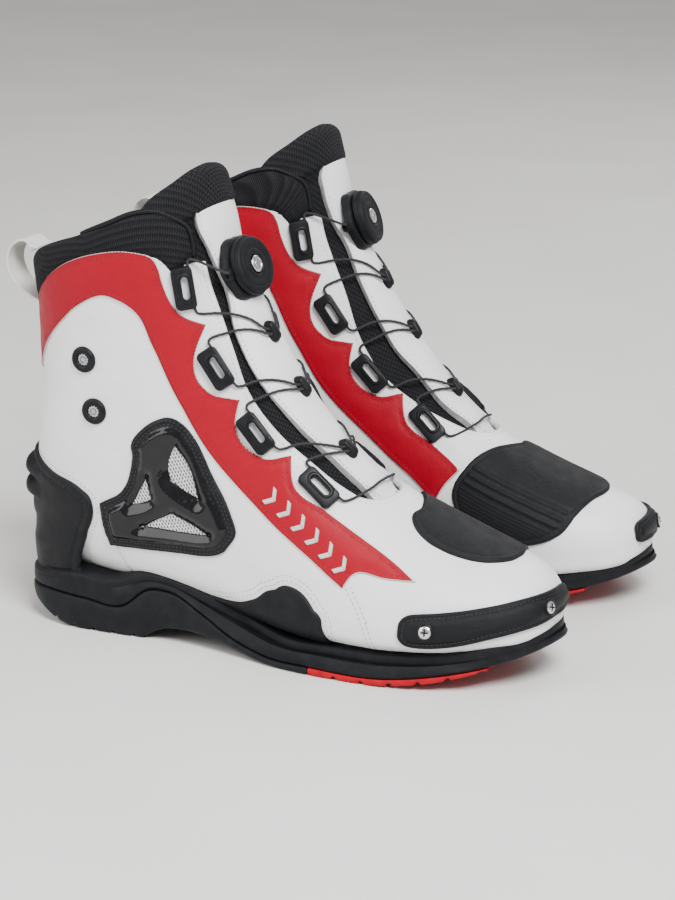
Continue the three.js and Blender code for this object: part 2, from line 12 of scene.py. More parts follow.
import bmesh
import bpy
import numpy as np
from mathutils import Matrix, Vector
from mathutils.bvhtree import BVHTree
from mathutils.geometry import delaunay_2d_cdt
from mathutils.kdtree import KDTree


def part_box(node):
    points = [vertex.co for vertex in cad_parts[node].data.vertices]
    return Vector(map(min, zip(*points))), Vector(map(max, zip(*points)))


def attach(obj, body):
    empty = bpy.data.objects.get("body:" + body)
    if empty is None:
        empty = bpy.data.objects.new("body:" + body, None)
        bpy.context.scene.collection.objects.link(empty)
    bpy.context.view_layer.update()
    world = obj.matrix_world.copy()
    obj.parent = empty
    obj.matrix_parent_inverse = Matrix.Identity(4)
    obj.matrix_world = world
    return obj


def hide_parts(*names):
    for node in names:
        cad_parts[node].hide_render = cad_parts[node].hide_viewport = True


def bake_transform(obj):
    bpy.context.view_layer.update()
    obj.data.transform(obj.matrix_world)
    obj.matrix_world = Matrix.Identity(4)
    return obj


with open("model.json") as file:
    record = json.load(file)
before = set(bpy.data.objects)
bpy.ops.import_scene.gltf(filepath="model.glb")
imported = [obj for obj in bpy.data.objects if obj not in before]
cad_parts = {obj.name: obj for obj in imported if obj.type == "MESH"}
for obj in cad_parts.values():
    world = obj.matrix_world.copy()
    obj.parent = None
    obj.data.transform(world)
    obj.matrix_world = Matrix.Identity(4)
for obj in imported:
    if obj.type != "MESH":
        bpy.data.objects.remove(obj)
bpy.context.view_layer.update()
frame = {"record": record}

# ---------------------------------------------------------------- sizes, in millimetres
LEATHER = 3.6  # outer leather with its lining
OVERLAY = 1.3  # a leather panel sewn on top
STITCH_PITCH = 2.7
STITCH_LENGTH = 1.9
FINE = 1.6  # spacing of the vertices on a skin
PLACE_SCALE = np.array([18.0, 40.0])  # rough millimetres for one step of v and of turn
MM = 0.001
PI = math.pi

# Where the right boot's own axes start, taken from its CAD nodes.
sole_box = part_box("right_outsole")
loop_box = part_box("right_pull_loop")
HEEL_OVERHANG = 4.0  # the sole reaches this far behind x = 0
ORIGIN = np.array([sole_box[0][0] + HEEL_OVERHANG * MM, (loop_box[0][1] + loop_box[1][1]) / 2, 0.0])


def to_world(points, side):
    """Boot millimetres to metres in the frame, mirrored for the left boot."""
    world = np.asarray(points, float) * MM + ORIGIN
    if side == "left":
        world = world * (1, -1, 1)
    return world


# ---------------------------------------------------------------- the form
# Sections of the boot's outer form, the same table as in the part's source: top x, z, low x, z,
# outer and inner half widths, lean, height of the widest place, and the powers that round the
# top, the bottom and the sides.
SECTIONS = np.array([
    [291, 38, 291, 30, 5, 5, 0, 0.40, 0.90, 0.70, 0.90],
    [289.5, 44, 289.5, 26, 14, 13, 0, 0.38, 0.90, 0.60, 0.90],
    [285, 50, 285, 22, 24, 23, 1, 0.34, 0.90, 0.50, 0.90],
    [273, 57, 273, 19, 35, 34, 3, 0.30, 0.90, 0.45, 0.90],
    [252, 64, 252, 16, 44, 42.5, 5, 0.27, 0.95, 0.40, 0.92],
    [226, 74, 225, 13, 49, 46, 6, 0.25, 1.00, 0.40, 0.95],
    [201, 86, 194, 12, 49.5, 44.5, 5, 0.25, 1.00, 0.40, 0.95],
    [179, 103, 157, 14, 46, 39, 2, 0.27, 0.95, 0.40, 0.95],
    [159, 125, 117, 20, 41.5, 36, 0, 0.31, 0.90, 0.42, 0.90],
    [143, 148, 74, 24, 39, 37, 0, 0.36, 0.88, 0.45, 0.88],
    [130.5, 169, 34, 25, 38.5, 37.5, 0, 0.42, 0.86, 0.55, 0.88],
    [123, 183, 7, 36, 38.5, 38, 0, 0.45, 0.88, 0.72, 0.90],
    [117, 195, -2, 68, 39, 38.5, 0, 0.46, 0.90, 0.88, 0.92],
    [113, 207, 2, 112, 40, 40, 0, 0.46, 0.90, 0.95, 0.95],
    [109, 221, 4, 158, 41.5, 41.5, 0, 0.46, 0.90, 1.00, 0.95],
    [104, 238, 0, 200, 43, 43, 0, 0.46, 0.90, 1.00, 0.95],
    [99, 256, -3, 238, 43, 43, 0, 0.46, 0.90, 1.00, 0.95],
])
LAST = len(SECTIONS) - 1


def spline_bends(rows):
    """Second derivatives of the natural cubic spline through evenly spaced rows."""
    count = len(rows)
    system = np.eye(count)
    right = np.zeros_like(rows)
    for i in range(1, count - 1):
        system[i, i - 1:i + 2] = (1, 4, 1)
        right[i] = 6 * (rows[i - 1] - 2 * rows[i] + rows[i + 1])
    return np.linalg.solve(system, right)


BENDS = spline_bends(SECTIONS)


def section(v):
    """The section table's columns at v."""
    v = np.clip(v, 0, LAST)
    i = np.minimum(v.astype(int), LAST - 1)
    t = (v - i)[:, None]
    spare = 1 - t
    bend = (spare ** 3 - spare) * BENDS[i] / 6 + (t ** 3 - t) * BENDS[i + 1] / 6
    return spare * SECTIONS[i] + t * SECTIONS[i + 1] + bend


def form_point(v, turn):
    """Points of the form. v from 0 down to -1 closes the toe."""
    v = np.asarray(v, float)
    turn = np.asarray(turn, float)
    s = section(v)
    top, low = s[:, 0:2], s[:, 2:4]
    outer, inner, lean, wide, round_top, round_low, round_side = s[:, 4:].T
    up, across = np.cos(turn), np.sin(turn)
    power_side = 2 / round_side
    power_up = 2 / np.where(up >= 0, round_top, round_low)
    size_up, size_across = np.abs(up) + 1e-9, np.abs(across) + 1e-9
    reach = 1 / np.maximum(size_up, size_across)
    for _ in range(7):
        term_side = (reach * size_across) ** power_side
        term_up = (reach * size_up) ** power_up
        reach = reach - (term_side + term_up - 1) * reach / (power_side * term_side + power_up * term_up)
    side = reach * across
    rise = reach * up * np.where(up >= 0, 1 - wide, wide)
    closing = np.clip(-v, 0, 1)
    share = wide + rise
    share = share * (1 - closing) + 0.1 * closing
    half = np.where(side > 0, outer, inner)
    y = (lean * np.clip(rise / (1 - wide), 0, 1) - half * side) * (1 - closing)
    xz = low + (top - low) * share[:, None]
    bulge = 1.2 * np.sin(closing * PI / 2)
    return np.stack([xz[:, 0] + bulge, y, xz[:, 1]], axis=1)


def on_form(places):
    """Points of the form at an array of (v, turn) places."""
    return form_point(places[:, 0], places[:, 1])


def form_frame(v, turn):
    """Points, outward normals and the two tangents (along v, along turn) of the form."""
    v = np.asarray(v, float)
    turn = np.asarray(turn, float)
    step_v, step_t = 0.01, 0.006
    along_v = (form_point(v + step_v, turn) - form_point(v - step_v, turn)) / (2 * step_v)
    along_t = (form_point(v, turn + step_t) - form_point(v, turn - step_t)) / (2 * step_t)
    normal = np.cross(along_v, along_t)
    length = np.linalg.norm(normal, axis=1)
    normal = normal / np.maximum(length, 1e-9)[:, None]
    return form_point(v, turn), normal, along_v, along_t


# ---------------------------------------------------------------- finding places on the form
class Lookup:
    """Finds (v, turn) from two coordinates that a given view of the form shows."""

    def __init__(self, view, v_range, turn_range):
        self.view = view
        vs = np.arange(v_range[0], v_range[1], 0.04)
        turns = np.arange(turn_range[0], turn_range[1], 0.02)
        self.v, self.turn = (grid.ravel() for grid in np.meshgrid(vs, turns, indexing="ij"))
        seen = view(form_point(self.v, self.turn))
        self.tree = KDTree(len(seen))
        for i, (a, b) in enumerate(seen):
            self.tree.insert((a, b, 0), i)
        self.tree.balance()

    def __call__(self, places):
        places = np.asarray(places, float)
        nearest = np.array([self.tree.find((a, b, 0))[1] for a, b in places])
        v, turn = self.v[nearest], self.turn[nearest]
        step = 1e-3
        for _ in range(4):
            here = self.view(form_point(v, turn))
            by_v = (self.view(form_point(v + step, turn)) - here) / step
            by_t = (self.view(form_point(v, turn + step)) - here) / step
            miss = places - here
            square = by_v[:, 0] * by_t[:, 1] - by_v[:, 1] * by_t[:, 0]
            square = np.where(np.abs(square) < 30, np.inf, square)
            move_v = np.clip((miss[:, 0] * by_t[:, 1] - miss[:, 1] * by_t[:, 0]) / square, -0.04, 0.04)
            move_t = np.clip((by_v[:, 0] * miss[:, 1] - by_v[:, 1] * miss[:, 0]) / square, -0.02, 0.02)
            v, turn = v + move_v, turn + move_t
        return np.stack([v, turn], axis=1)


THROAT_BASE = np.array([193.0, 0, 84])
THROAT_TOP = np.array([104.0, 0, 225])
THROAT_UP = (THROAT_TOP - THROAT_BASE) / np.linalg.norm(THROAT_TOP - THROAT_BASE)


def side_view(points):
    return points[:, [0, 2]]


def throat_view(points):
    return np.stack([points[:, 1], (points - THROAT_BASE) @ THROAT_UP], axis=1)


def plan_view(points):
    return points[:, :2]


on_outer = Lookup(side_view, (0.0, LAST), (0.04, PI))
on_inner = Lookup(side_view, (0.0, LAST), (-PI, -0.04))
on_throat = Lookup(throat_view, (5.0, LAST), (-1.5, 1.5))
on_toe = Lookup(plan_view, (0.5, 9.0), (-1.6, 1.6))


# ---------------------------------------------------------------- outlines
SHARP = True


def curve_through(points, closed=True, step=1.2):
    """A smooth line through (a, b) points, with a corner at each point marked SHARP."""
    places = np.array([p[:2] for p in points], float)
    sharp = [len(p) > 2 and p[2] for p in points]
    count = len(places)
    spans = count if closed else count - 1
    line = []
    for i in range(spans):
        p1, p2 = places[i], places[(i + 1) % count]
        before = places[i - 1] if closed or i > 0 else p1
        after = places[(i + 2) % count] if closed or i + 2 < count else p2
        gap = np.linalg.norm(p2 - p1)
        from_tangent = (p2 - p1) if sharp[i] else tangent_at(before, p1, p2, gap)
        to_tangent = (p2 - p1) if sharp[(i + 1) % count] else tangent_at(p1, p2, after, gap)
        steps = max(int(round(gap / step)), 1)
        t = (np.arange(steps) / steps)[:, None]
        line.append((2 * t ** 3 - 3 * t ** 2 + 1) * p1 + (t ** 3 - 2 * t ** 2 + t) * from_tangent
                    + (3 * t ** 2 - 2 * t ** 3) * p2 + (t ** 3 - t ** 2) * to_tangent)
    if not closed:
        line.append(places[-1:])
    return np.concatenate(line)


def tangent_at(before, here, after, gap):
    """A tangent at `here` that leans to its nearer neighbour, scaled to a span of length gap."""
    back, ahead = here - before, after - here
    far_back, far_ahead = np.linalg.norm(back), np.linalg.norm(ahead)
    if far_back < 1e-6 or far_ahead < 1e-6:
        return ahead if far_back < 1e-6 else back
    direction = back / far_back * far_ahead + ahead / far_ahead * far_back
    return direction / max(np.linalg.norm(direction), 1e-9) * gap


def travelled_along(points):
    """The distance travelled to each point of a line."""
    return np.r_[0, np.cumsum(np.linalg.norm(np.diff(points, axis=0), axis=1))]


def resampled(line, lengths, step, closed):
    """A line's columns at even steps of the given lengths."""
    count = max(int(round(lengths[-1] / step)), 1)
    wanted = np.linspace(0, lengths[-1], count + 1)
    if closed:
        wanted = wanted[:-1]
    return np.stack([np.interp(wanted, lengths, column) for column in line.T], axis=1)


def spaced(line, step, closed=False):
    """A line resampled to even steps."""
    if closed:
        line = np.vstack([line, line[:1]])
    return resampled(line, travelled_along(line), step, closed)


def shifted(path, distance, closed=True):
    """The path moved sideways over the form by a distance in mm, to the left of its direction."""
    points, normals, along_v, along_t = form_frame(path[:, 0], path[:, 1])
    if closed:
        heading = np.roll(points, -1, axis=0) - np.roll(points, 1, axis=0)
    else:
        heading = np.gradient(points, axis=0)
    across = np.cross(normals, heading)
    across /= np.maximum(np.linalg.norm(across, axis=1), 1e-9)[:, None]
    vv, tt, vt = (np.sum(p * q, axis=1) for p, q in
                  ((along_v, along_v), (along_t, along_t), (along_v, along_t)))
    cv, ct = np.sum(across * along_v, axis=1), np.sum(across * along_t, axis=1)
    square = vv * tt - vt * vt
    square = np.where(square < 1e-3, np.inf, square)
    move_v = (cv * tt - ct * vt) / square
    move_t = (ct * vv - cv * vt) / square
    return path + distance * np.stack([move_v, move_t], axis=1)


def oriented(path):
    """The closed path turned to run anticlockwise, seen from outside the boot."""
    v, turn = path[:, 0], path[:, 1]
    area = 0.5 * np.sum(v * np.roll(turn, -1) - np.roll(v, -1) * turn)
    return path if area > 0 else path[::-1]


def inside(path, places):
    """Which (v, turn) places lie inside a closed path."""
    x, y = places[:, 0], places[:, 1]
    result = np.zeros(len(places), bool)
    px, py = path[:, 0], path[:, 1]
    for i in range(len(path)):
        x1, y1, x2, y2 = px[i - 1], py[i - 1], px[i], py[i]
        if y1 == y2:
            continue
        crosses = ((y1 > y) != (y2 > y)) & (x < (x2 - x1) * (y - y1) / (y2 - y1) + x1)
        result ^= crosses
    return result


def tree_of(points):
    tree = KDTree(len(points))
    for i, point in enumerate(points):
        tree.insert(point, i)
    tree.balance()
    return tree


def distance_to(points, line_points):
    """The distance from each point to the nearest of a dense line's points."""
    if len(line_points) == 0:
        return np.full(len(points), 1e3)
    tree = tree_of(line_points)
    return np.array([tree.find(p)[2] for p in points])


def dense(path, closed=True, step=0.3):
    return spaced(on_form(path), step, closed)


grids = {}


def grid_places(spacing):
    """(v, turn) places over the whole form, with turn from -pi to pi, about `spacing` mm apart."""
    if spacing in grids:
        return grids[spacing]
    probe = np.linspace(-PI, PI, 200)
    places = []
    v = -1.0
    row = 0
    while v < LAST:
        here = form_point(np.full(200, v), probe)
        ahead = form_point(np.full(200, v + 0.05), probe)
        pace = np.linalg.norm(ahead - here, axis=1).max() / 0.05
        lengths = travelled_along(here)
        count = max(int(lengths[-1] / spacing), 6)
        wanted = (np.arange(count) + (0.5 if row % 2 else 0.0)) / count * lengths[-1]
        turns = np.interp(wanted, lengths, probe)
        places.append(np.stack([np.full(count, v), turns], axis=1))
        v += spacing * 0.9 / max(pace, 8.0)
        row += 1
    grids[spacing] = np.concatenate(places)
    return grids[spacing]


# ---------------------------------------------------------------- lengths over the form
MAP_ROWS = 141
MAP_COLUMNS = 361
map_v, map_turn = np.meshgrid(np.linspace(-1, LAST, MAP_ROWS), np.linspace(-2 * PI, 2 * PI, MAP_COLUMNS),
                              indexing="ij")
map_points = form_point(map_v.ravel(), map_turn.ravel()).reshape(MAP_ROWS, MAP_COLUMNS, 3)
steps_round = np.linalg.norm(np.diff(map_points, axis=1), axis=2)
ROUND_LENGTH = np.concatenate([np.zeros((MAP_ROWS, 1)), np.cumsum(steps_round, axis=1)], axis=1)
ROUND_LENGTH -= ROUND_LENGTH[:, MAP_COLUMNS // 2, None]
steps_up = np.linalg.norm(np.diff(map_points, axis=0), axis=2)
UP_LENGTH = np.concatenate([np.zeros((1, MAP_COLUMNS)), np.cumsum(steps_up, axis=0)], axis=0)


def lengths_at(places):
    """Distances in mm round the section and up the form, for laying a weave over it."""
    rows, columns = MAP_ROWS - 1, MAP_COLUMNS - 1
    fv = np.clip((places[:, 0] + 1) / (LAST + 1) * rows, 0, rows - 0.001)
    ft = np.clip((places[:, 1] + 2 * PI) / (4 * PI) * columns, 0, columns - 0.001)
    i, j = fv.astype(int), ft.astype(int)
    a, b = fv - i, ft - j
    result = []
    for table in (ROUND_LENGTH, UP_LENGTH):
        low = table[i, j] * (1 - b) + table[i, j + 1] * b
        high = table[i + 1, j] * (1 - b) + table[i + 1, j + 1] * b
        result.append(low * (1 - a) + high * a)
    return np.stack(result, axis=1)


# ---------------------------------------------------------------- making meshes
FAR_IN = 9.0  # the distance from an edge past which its wear no longer shows


class Shape:
    """Vertices and faces gathered before they become an object. Everything in boot millimetres."""

    def __init__(self):
        self.points = []
        self.faces = []
        self.slots = []
        self.uvs = []
        self.edge = []
        self.count = 0

    def add(self, points, faces, slot=0, uv=None, edge=None):
        points = np.asarray(points, float)
        self.points.append(points)
        self.faces.extend([tuple(int(i) + self.count for i in face) for face in faces])
        self.slots.extend([slot] * len(faces))
        self.uvs.append(np.zeros((len(points), 2)) if uv is None else np.asarray(uv, float))
        self.edge.append(np.full(len(points), FAR_IN) if edge is None else np.asarray(edge, float))
        self.count += len(points)


def build(name, shape, materials, body="boot", sharp=35, replaces=(), weld=False):
    """Makes the right and left objects of a shape and gives each its body."""
    points = np.concatenate(shape.points)
    uv = np.concatenate(shape.uvs) * MM
    edge = np.concatenate(shape.edge)
    made = {}
    for side in ("right", "left"):
        faces = shape.faces if side == "right" else [face[::-1] for face in shape.faces]
        mesh = bpy.data.meshes.new(f"{side}_{name}")
        mesh.from_pydata(to_world(points, side).tolist(), [], faces)
        mesh.polygons.foreach_set("use_smooth", np.ones(len(faces), bool))
        mesh.polygons.foreach_set("material_index", np.array(shape.slots, np.int32))
        loop_vertices = np.empty(len(mesh.loops), np.int32)
        mesh.loops.foreach_get("vertex_index", loop_vertices)
        layer = mesh.uv_layers.new(name="weave")
        layer.data.foreach_set("uv", uv[loop_vertices].astype(np.float32).ravel())
        attribute = mesh.attributes.new("edge", "FLOAT", "POINT")
        attribute.data.foreach_set("value", np.minimum(edge, FAR_IN).astype(np.float32))
        for material in materials:
            mesh.materials.append(material)
        if weld:
            welded = bmesh.new()
            welded.from_mesh(mesh)
            bmesh.ops.remove_doubles(welded, verts=welded.verts, dist=2e-5)
            bmesh.ops.dissolve_degenerate(welded, edges=welded.edges, dist=1e-6)
            welded.to_mesh(mesh)
            welded.free()
        if sharp:
            mesh.set_sharp_from_angle(angle=math.radians(sharp))
        mesh.update()
        piece = bpy.data.objects.new(f"{side}_{name}_look", mesh)
        bpy.context.scene.collection.objects.link(piece)
        if body:
            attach(piece, f"{side}_{body}")
        if replaces:
            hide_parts(*[f"{side}_{node}" for node in replaces])
        made[side] = piece
    return made


def triangulate(loops, loose):
    """Triangles inside the first closed loop and outside the others, through the loose places."""
    corners, edges = [], []
    start = 0
    for loop in loops:
        corners.append(loop)
        size = len(loop)
        edges.extend((start + i, start + (i + 1) % size) for i in range(size))
        start += size
    corners.extend(loose)
    flat = np.concatenate(corners) * PLACE_SCALE
    result = delaunay_2d_cdt([Vector(p) for p in flat], edges, [], 0, 1e-5)
    places = np.array([tuple(p) for p in result[0]]) / PLACE_SCALE
    faces = np.array([face for face in result[2] if len(face) == 3])
    middles = places[faces].mean(axis=1)
    keep = inside(loops[0], middles)
    for hole in loops[1:]:
        keep &= ~inside(hole, middles)
    faces = faces[keep]
    used, renumbered = np.unique(faces, return_inverse=True)
    return places[used], renumbered.reshape(faces.shape)


class Skin:
    """A patch of the form inside an outline, triangulated, with the distance of each vertex from the
    outline (edge) and from each of the marked lines."""

    def __init__(self, outline, holes=(), spacing=FINE, lines=(), rims=(0.35, 0.9, 1.7), joined=None):
        self.outline = oriented(outline)
        self.holes = [oriented(hole)[::-1] for hole in holes]
        self.lines = list(lines)
        self.joined = joined or (lambda places: np.zeros(len(places), bool))
        loops = [self.outline] + self.holes
        self.rims = []
        for loop in loops:
            around = spaced_places(loop, 0.3, True)
            around = around[~self.joined(around)]
            self.rims.append(on_form(around))
        border = np.concatenate(self.rims)
        loose = []
        for loop in loops:
            for rim in rims:
                row = shifted(loop, rim)
                row = row[distance_to(on_form(row), border) > 0.9 * rim]
                loose.append(row)
        for line, closed in self.lines:
            for aside in (-0.8, 0, 0.8):
                row = shifted(line, aside, closed)
                row = row[distance_to(on_form(row), border) > 0.6]
                loose.append(row)
        middle = (self.outline[:, 1].max() + self.outline[:, 1].min()) / 2
        grid = grid_places(spacing).copy()
        grid[:, 1] = (grid[:, 1] - middle + PI) % (2 * PI) - PI + middle
        low, high = self.outline.min(axis=0), self.outline.max(axis=0)
        grid = grid[np.all((grid > low) & (grid < high), axis=1)]
        grid = grid[inside(self.outline, grid)]
        for hole in self.holes:
            grid = grid[~inside(hole, grid)]
        taken = [border] + [on_form(row) for row in loose if len(row)]
        clear = distance_to(on_form(grid), np.concatenate(taken))
        loose.append(grid[clear > 0.6 * spacing])
        loose = [row[inside(self.outline, row)] for row in loose if len(row)]
        self.places, self.faces = triangulate(loops, loose)
        self.points, self.normals, _, _ = form_frame(self.places[:, 0], self.places[:, 1])
        self.apart = [distance_to(self.points, rim) for rim in self.rims]
        self.edge = np.minimum.reduce(self.apart)
        self.edge[self.edge < 0.18] = 0
        self.uv = lengths_at(self.places)
        self.border = self._border_edges()

    def _border_edges(self):
        pairs = np.concatenate([self.faces[:, [0, 1]], self.faces[:, [1, 2]], self.faces[:, [2, 0]]])
        keys = {}
        for a, b in pairs:
            keys[(int(a), int(b))] = True
        free = self.joined(self.places)
        return [(a, b) for a, b in keys if (b, a) not in keys and not (free[a] and free[b])]

    def line_distance(self):
        """The distance of each vertex from the nearest marked line."""
        points = [dense(line, closed) for line, closed in self.lines]
        return distance_to(self.points, np.concatenate(points))

    def smoothed(self, values, rounds):
        """Evens out heights between neighbouring vertices, leaving the border as it is."""
        corners = np.array(self.faces)
        pairs = np.vstack([corners[:, [0, 1]], corners[:, [1, 2]], corners[:, [2, 0]]])
        pairs = np.vstack([pairs, pairs[:, ::-1]])
        fixed = np.unique(np.array(self.border))
        counts = np.maximum(np.bincount(pairs[:, 0], minlength=len(self.points)), 1)
        for _ in range(rounds):
            means = np.bincount(pairs[:, 0], weights=values[pairs[:, 1]],
                                minlength=len(self.points)) / counts
            means[fixed] = values[fixed]
            values = (values + means) / 2
        return values

    def shape(self, height, base, slot=0, base_slot=None, into=None):
        """A closed piece: its top stands `height` mm off the form and its underside `base`."""
        height = np.broadcast_to(height, len(self.points))
        top = self.points + self.normals * height[:, None]
        base = np.broadcast_to(base, len(self.points))
        under = self.points + self.normals * base[:, None]
        count = len(top)
        walls = [(a, a + count, b + count, b) for a, b in self.border]
        shape = into or Shape()
        shape.add(np.vstack([top, under]),
                  [tuple(f) for f in self.faces] + walls, slot,
                  np.vstack([self.uv, self.uv]), np.r_[self.edge, self.edge])
        offset = shape.count - count
        under_faces = [tuple(int(i) + offset for i in f[::-1]) for f in self.faces]
        shape.faces.extend(under_faces)
        shape.slots.extend([slot if base_slot is None else base_slot] * len(under_faces))
        return shape


def rounded(distance, height, radius):
    """The height of a piece whose cut edge is rounded, at a distance in from that edge."""
    inward = 1 - np.clip(distance / radius, 0, 1)
    return height - np.minimum(radius, height) * (1 - np.sqrt(np.clip(1 - inward ** 2, 0, 1)))


def groove(distance, depth, width):
    return depth * np.exp(-(distance / width) ** 2)


def eased(share):
    """A share from 0 to 1 that starts and ends gently."""
    return share * share * (3 - 2 * share)


# ---------------------------------------------------------------- stitches
def stitch_shape(shape, line, lift, closed=False, pitch=STITCH_PITCH, length=STITCH_LENGTH, radius=0.3,
                 slot=0):
    """A row of stitches along a (v, turn) line, lying `lift` mm off the form."""
    if len(line) < 2:
        return
    sampled = spaced_places(line, pitch, closed)
    if len(sampled) < 2:
        return
    points, normals, _, _ = form_frame(sampled[:, 0], sampled[:, 1])
    points = points + normals * lift
    heading = np.gradient(points, axis=0)
    heading -= normals * np.sum(heading * normals, axis=1)[:, None]
    heading /= np.maximum(np.linalg.norm(heading, axis=1), 1e-9)[:, None]
    place_capsules(shape, points, heading, np.cross(normals, heading), normals, length, radius, slot)


def place_capsules(shape, points, heading, sideways, normals, length, radius, slot=0):
    """One stretched bead at each point, lying along its heading with its ends sunk."""
    sizes = (0.35, 1.0, 1.0, 0.35)
    reach = (-0.5, -0.32, 0.32, 0.5)
    sink = (-0.5, 0.15, 0.15, -0.5)
    ring = 6
    template = []
    for size, along, down in zip(sizes, reach, sink):
        for k in range(ring):
            angle = 2 * PI * k / ring
            template.append((along * length, math.cos(angle) * size * radius,
                             math.sin(angle) * size * radius + down * radius))
    template = np.array(template)
    faces = []
    for r in range(3):
        for k in range(ring):
            n = (k + 1) % ring
            faces.append((r * ring + k, r * ring + n, (r + 1) * ring + n, (r + 1) * ring + k))
    faces.append(tuple(reversed(range(ring))))
    faces.append(tuple(range(3 * ring, 4 * ring)))
    faces = [face[::-1] for face in faces]
    all_points = (points[:, None, :] + template[None, :, 0:1] * heading[:, None, :]
                  + template[None, :, 1:2] * sideways[:, None, :]
                  + template[None, :, 2:3] * normals[:, None, :])
    size = len(template)
    all_faces = [tuple(i + size * k for i in face) for k in range(len(points)) for face in faces]
    uv = np.tile(template[:, :2], (len(points), 1))
    shape.add(all_points.reshape(-1, 3), all_faces, slot, uv)


def spaced_places(line, step, closed=False):
    """(v, turn) places at even distances over the form."""
    if closed:
        line = np.vstack([line, line[:1]])
    return resampled(line, travelled_along(on_form(line)), step, closed)


SHORTEST_RUN = 6


def runs_where(path, good, closed):
    """The stretches of a path whose places are all good, each with whether it is a closed line."""
    if good.all():
        return [(path, closed)]
    if closed:
        start = int(np.argmin(good))
        path, good = np.roll(path, -start, axis=0), np.roll(good, -start)
    changes = np.flatnonzero(np.diff(np.r_[False, good, False].astype(int)))
    runs = [path[start:end] for start, end in zip(changes[::2], changes[1::2])]
    return [(run, False) for run in runs if len(run) >= SHORTEST_RUN]


def clear_runs(path, border, least):
    """The stretches of a closed path that stay at least `least` mm from the border's points."""
    return runs_where(path, distance_to(on_form(path), border) > least, True)


def seam_lines(outline, inset):
    """Lines `inset` mm inside an outline, cut where they would bunch up in its corners."""
    outline = oriented(outline)
    return clear_runs(shifted(outline, inset), dense(outline), inset * 0.93)


# ---------------------------------------------------------------- materials
class Nodes:
    """A material's node tree, with short ways to add to it."""

    def __init__(self, name, color, roughness, metallic=0.0):
        self.material = bpy.data.materials.new(name)
        self.material.use_nodes = True
        self.tree = self.material.node_tree
        self.shader = self.tree.nodes["Principled BSDF"]
        self.shader.inputs["Base Color"].default_value = (*color, 1)
        self.shader.inputs["Roughness"].default_value = roughness
        self.shader.inputs["Metallic"].default_value = metallic

    def add(self, kind, inputs=(), **settings):
        node = self.tree.nodes.new(kind)
        for name, value in settings.items():
            setattr(node, name, value)
        for key, value in dict(inputs).items():
            if isinstance(value, bpy.types.NodeSocket):
                self.tree.links.new(value, node.inputs[key])
            else:
                node.inputs[key].default_value = value
        return node

    def place(self):
        return self.add("ShaderNodeTexCoord").outputs["Object"]

    def weave(self):
        return self.add("ShaderNodeUVMap", uv_map="weave").outputs["UV"]

    def math(self, operation, a, b=0.0):
        return self.add("ShaderNodeMath", {0: a, 1: b}, operation=operation).outputs[0]

    def noise(self, size, detail=3.0):
        """Noise whose features are about `size` mm across."""
        inputs = {"Vector": self.place(), "Scale": 1000 / size, "Detail": detail}
        return self.add("ShaderNodeTexNoise", inputs).outputs[0]

    def cells(self, size, feature="F1", randomness=1.0, where=None):
        where = where or self.place()
        inputs = {"Vector": where, "Scale": 1000 / size, "Randomness": randomness}
        return self.add("ShaderNodeTexVoronoi", inputs, feature=feature).outputs["Distance"]

    def ramp(self, value, low, high, a=0.0, b=1.0):
        inputs = {0: value, 1: low, 2: high, 3: a, 4: b}
        return self.add("ShaderNodeMapRange", inputs).outputs[0]

    def mix(self, share, first, second):
        inputs = {0: share, 6: (*first, 1) if isinstance(first, tuple) else first,
                  7: (*second, 1) if isinstance(second, tuple) else second}
        return self.add("ShaderNodeMix", inputs, data_type="RGBA").outputs[2]

    def paint(self, color):
        self.tree.links.new(color, self.shader.inputs["Base Color"])

    def rough(self, value):
        self.tree.links.new(value, self.shader.inputs["Roughness"])

    def bumps(self, *layers):
        """Layers of (height socket, depth in mm), each laid over the one before."""
        below = None
        for height, depth in layers:
            inputs = {"Height": height, "Distance": depth * MM, "Strength": 1.0}
            if below:
                inputs["Normal"] = below
            below = self.add("ShaderNodeBump", inputs).outputs[0]
        self.tree.links.new(below, self.shader.inputs["Normal"])


def leather(name, color, roughness, grain=1.0, depth=0.05, dirt=0.75):
    """Coated leather: fine cells, soft creases, a slightly darker cut edge and uneven shine."""
    m = Nodes(name, color, roughness)
    m.shader.inputs["Specular IOR Level"].default_value = 0.5 if min(color) > 0.1 else 0.18
    fine = m.cells(grain, "DISTANCE_TO_EDGE")
    soft = m.noise(9.0, 4.0)
    m.bumps((m.ramp(fine, 0.0, 0.25), depth), (soft, depth * 2.2))
    edge = m.add("ShaderNodeAttribute", attribute_name="edge").outputs["Fac"]
    worn = m.ramp(edge, 0.0, 1.1, 1.0, 0.0)
    worn = m.math("MULTIPLY", worn, m.ramp(m.noise(3.0), 0.3, 0.6, 0.35, 1.0))
    dark = tuple(c * dirt for c in color)
    patchy = m.mix(m.ramp(m.noise(22.0, 5.0), 0.35, 0.7), color, tuple(c * 0.965 for c in color))
    m.paint(m.mix(worn, patchy, dark))
    m.rough(m.ramp(soft, 0.3, 0.75, roughness - 0.05, roughness + 0.09))
    return m.material


def moulded(name, color, roughness, grain=0.6, depth=0.012, spread=0.1, shine=0.15):
    """Rubber or plastic from a mould: a fine matt texture with handling marks."""
    m = Nodes(name, color, roughness)
    m.shader.inputs["Specular IOR Level"].default_value = shine
    cloud = m.noise(14.0, 5.0)
    m.bumps((m.noise(grain, 2.0), depth), (cloud, depth * 3))
    m.rough(m.ramp(cloud, 0.3, 0.7, roughness - spread / 2, roughness + spread / 2))
    m.paint(m.mix(m.ramp(m.noise(6.0, 4.0), 0.4, 0.75), color, tuple(c * 1.35 + 0.002 for c in color)))
    return m.material


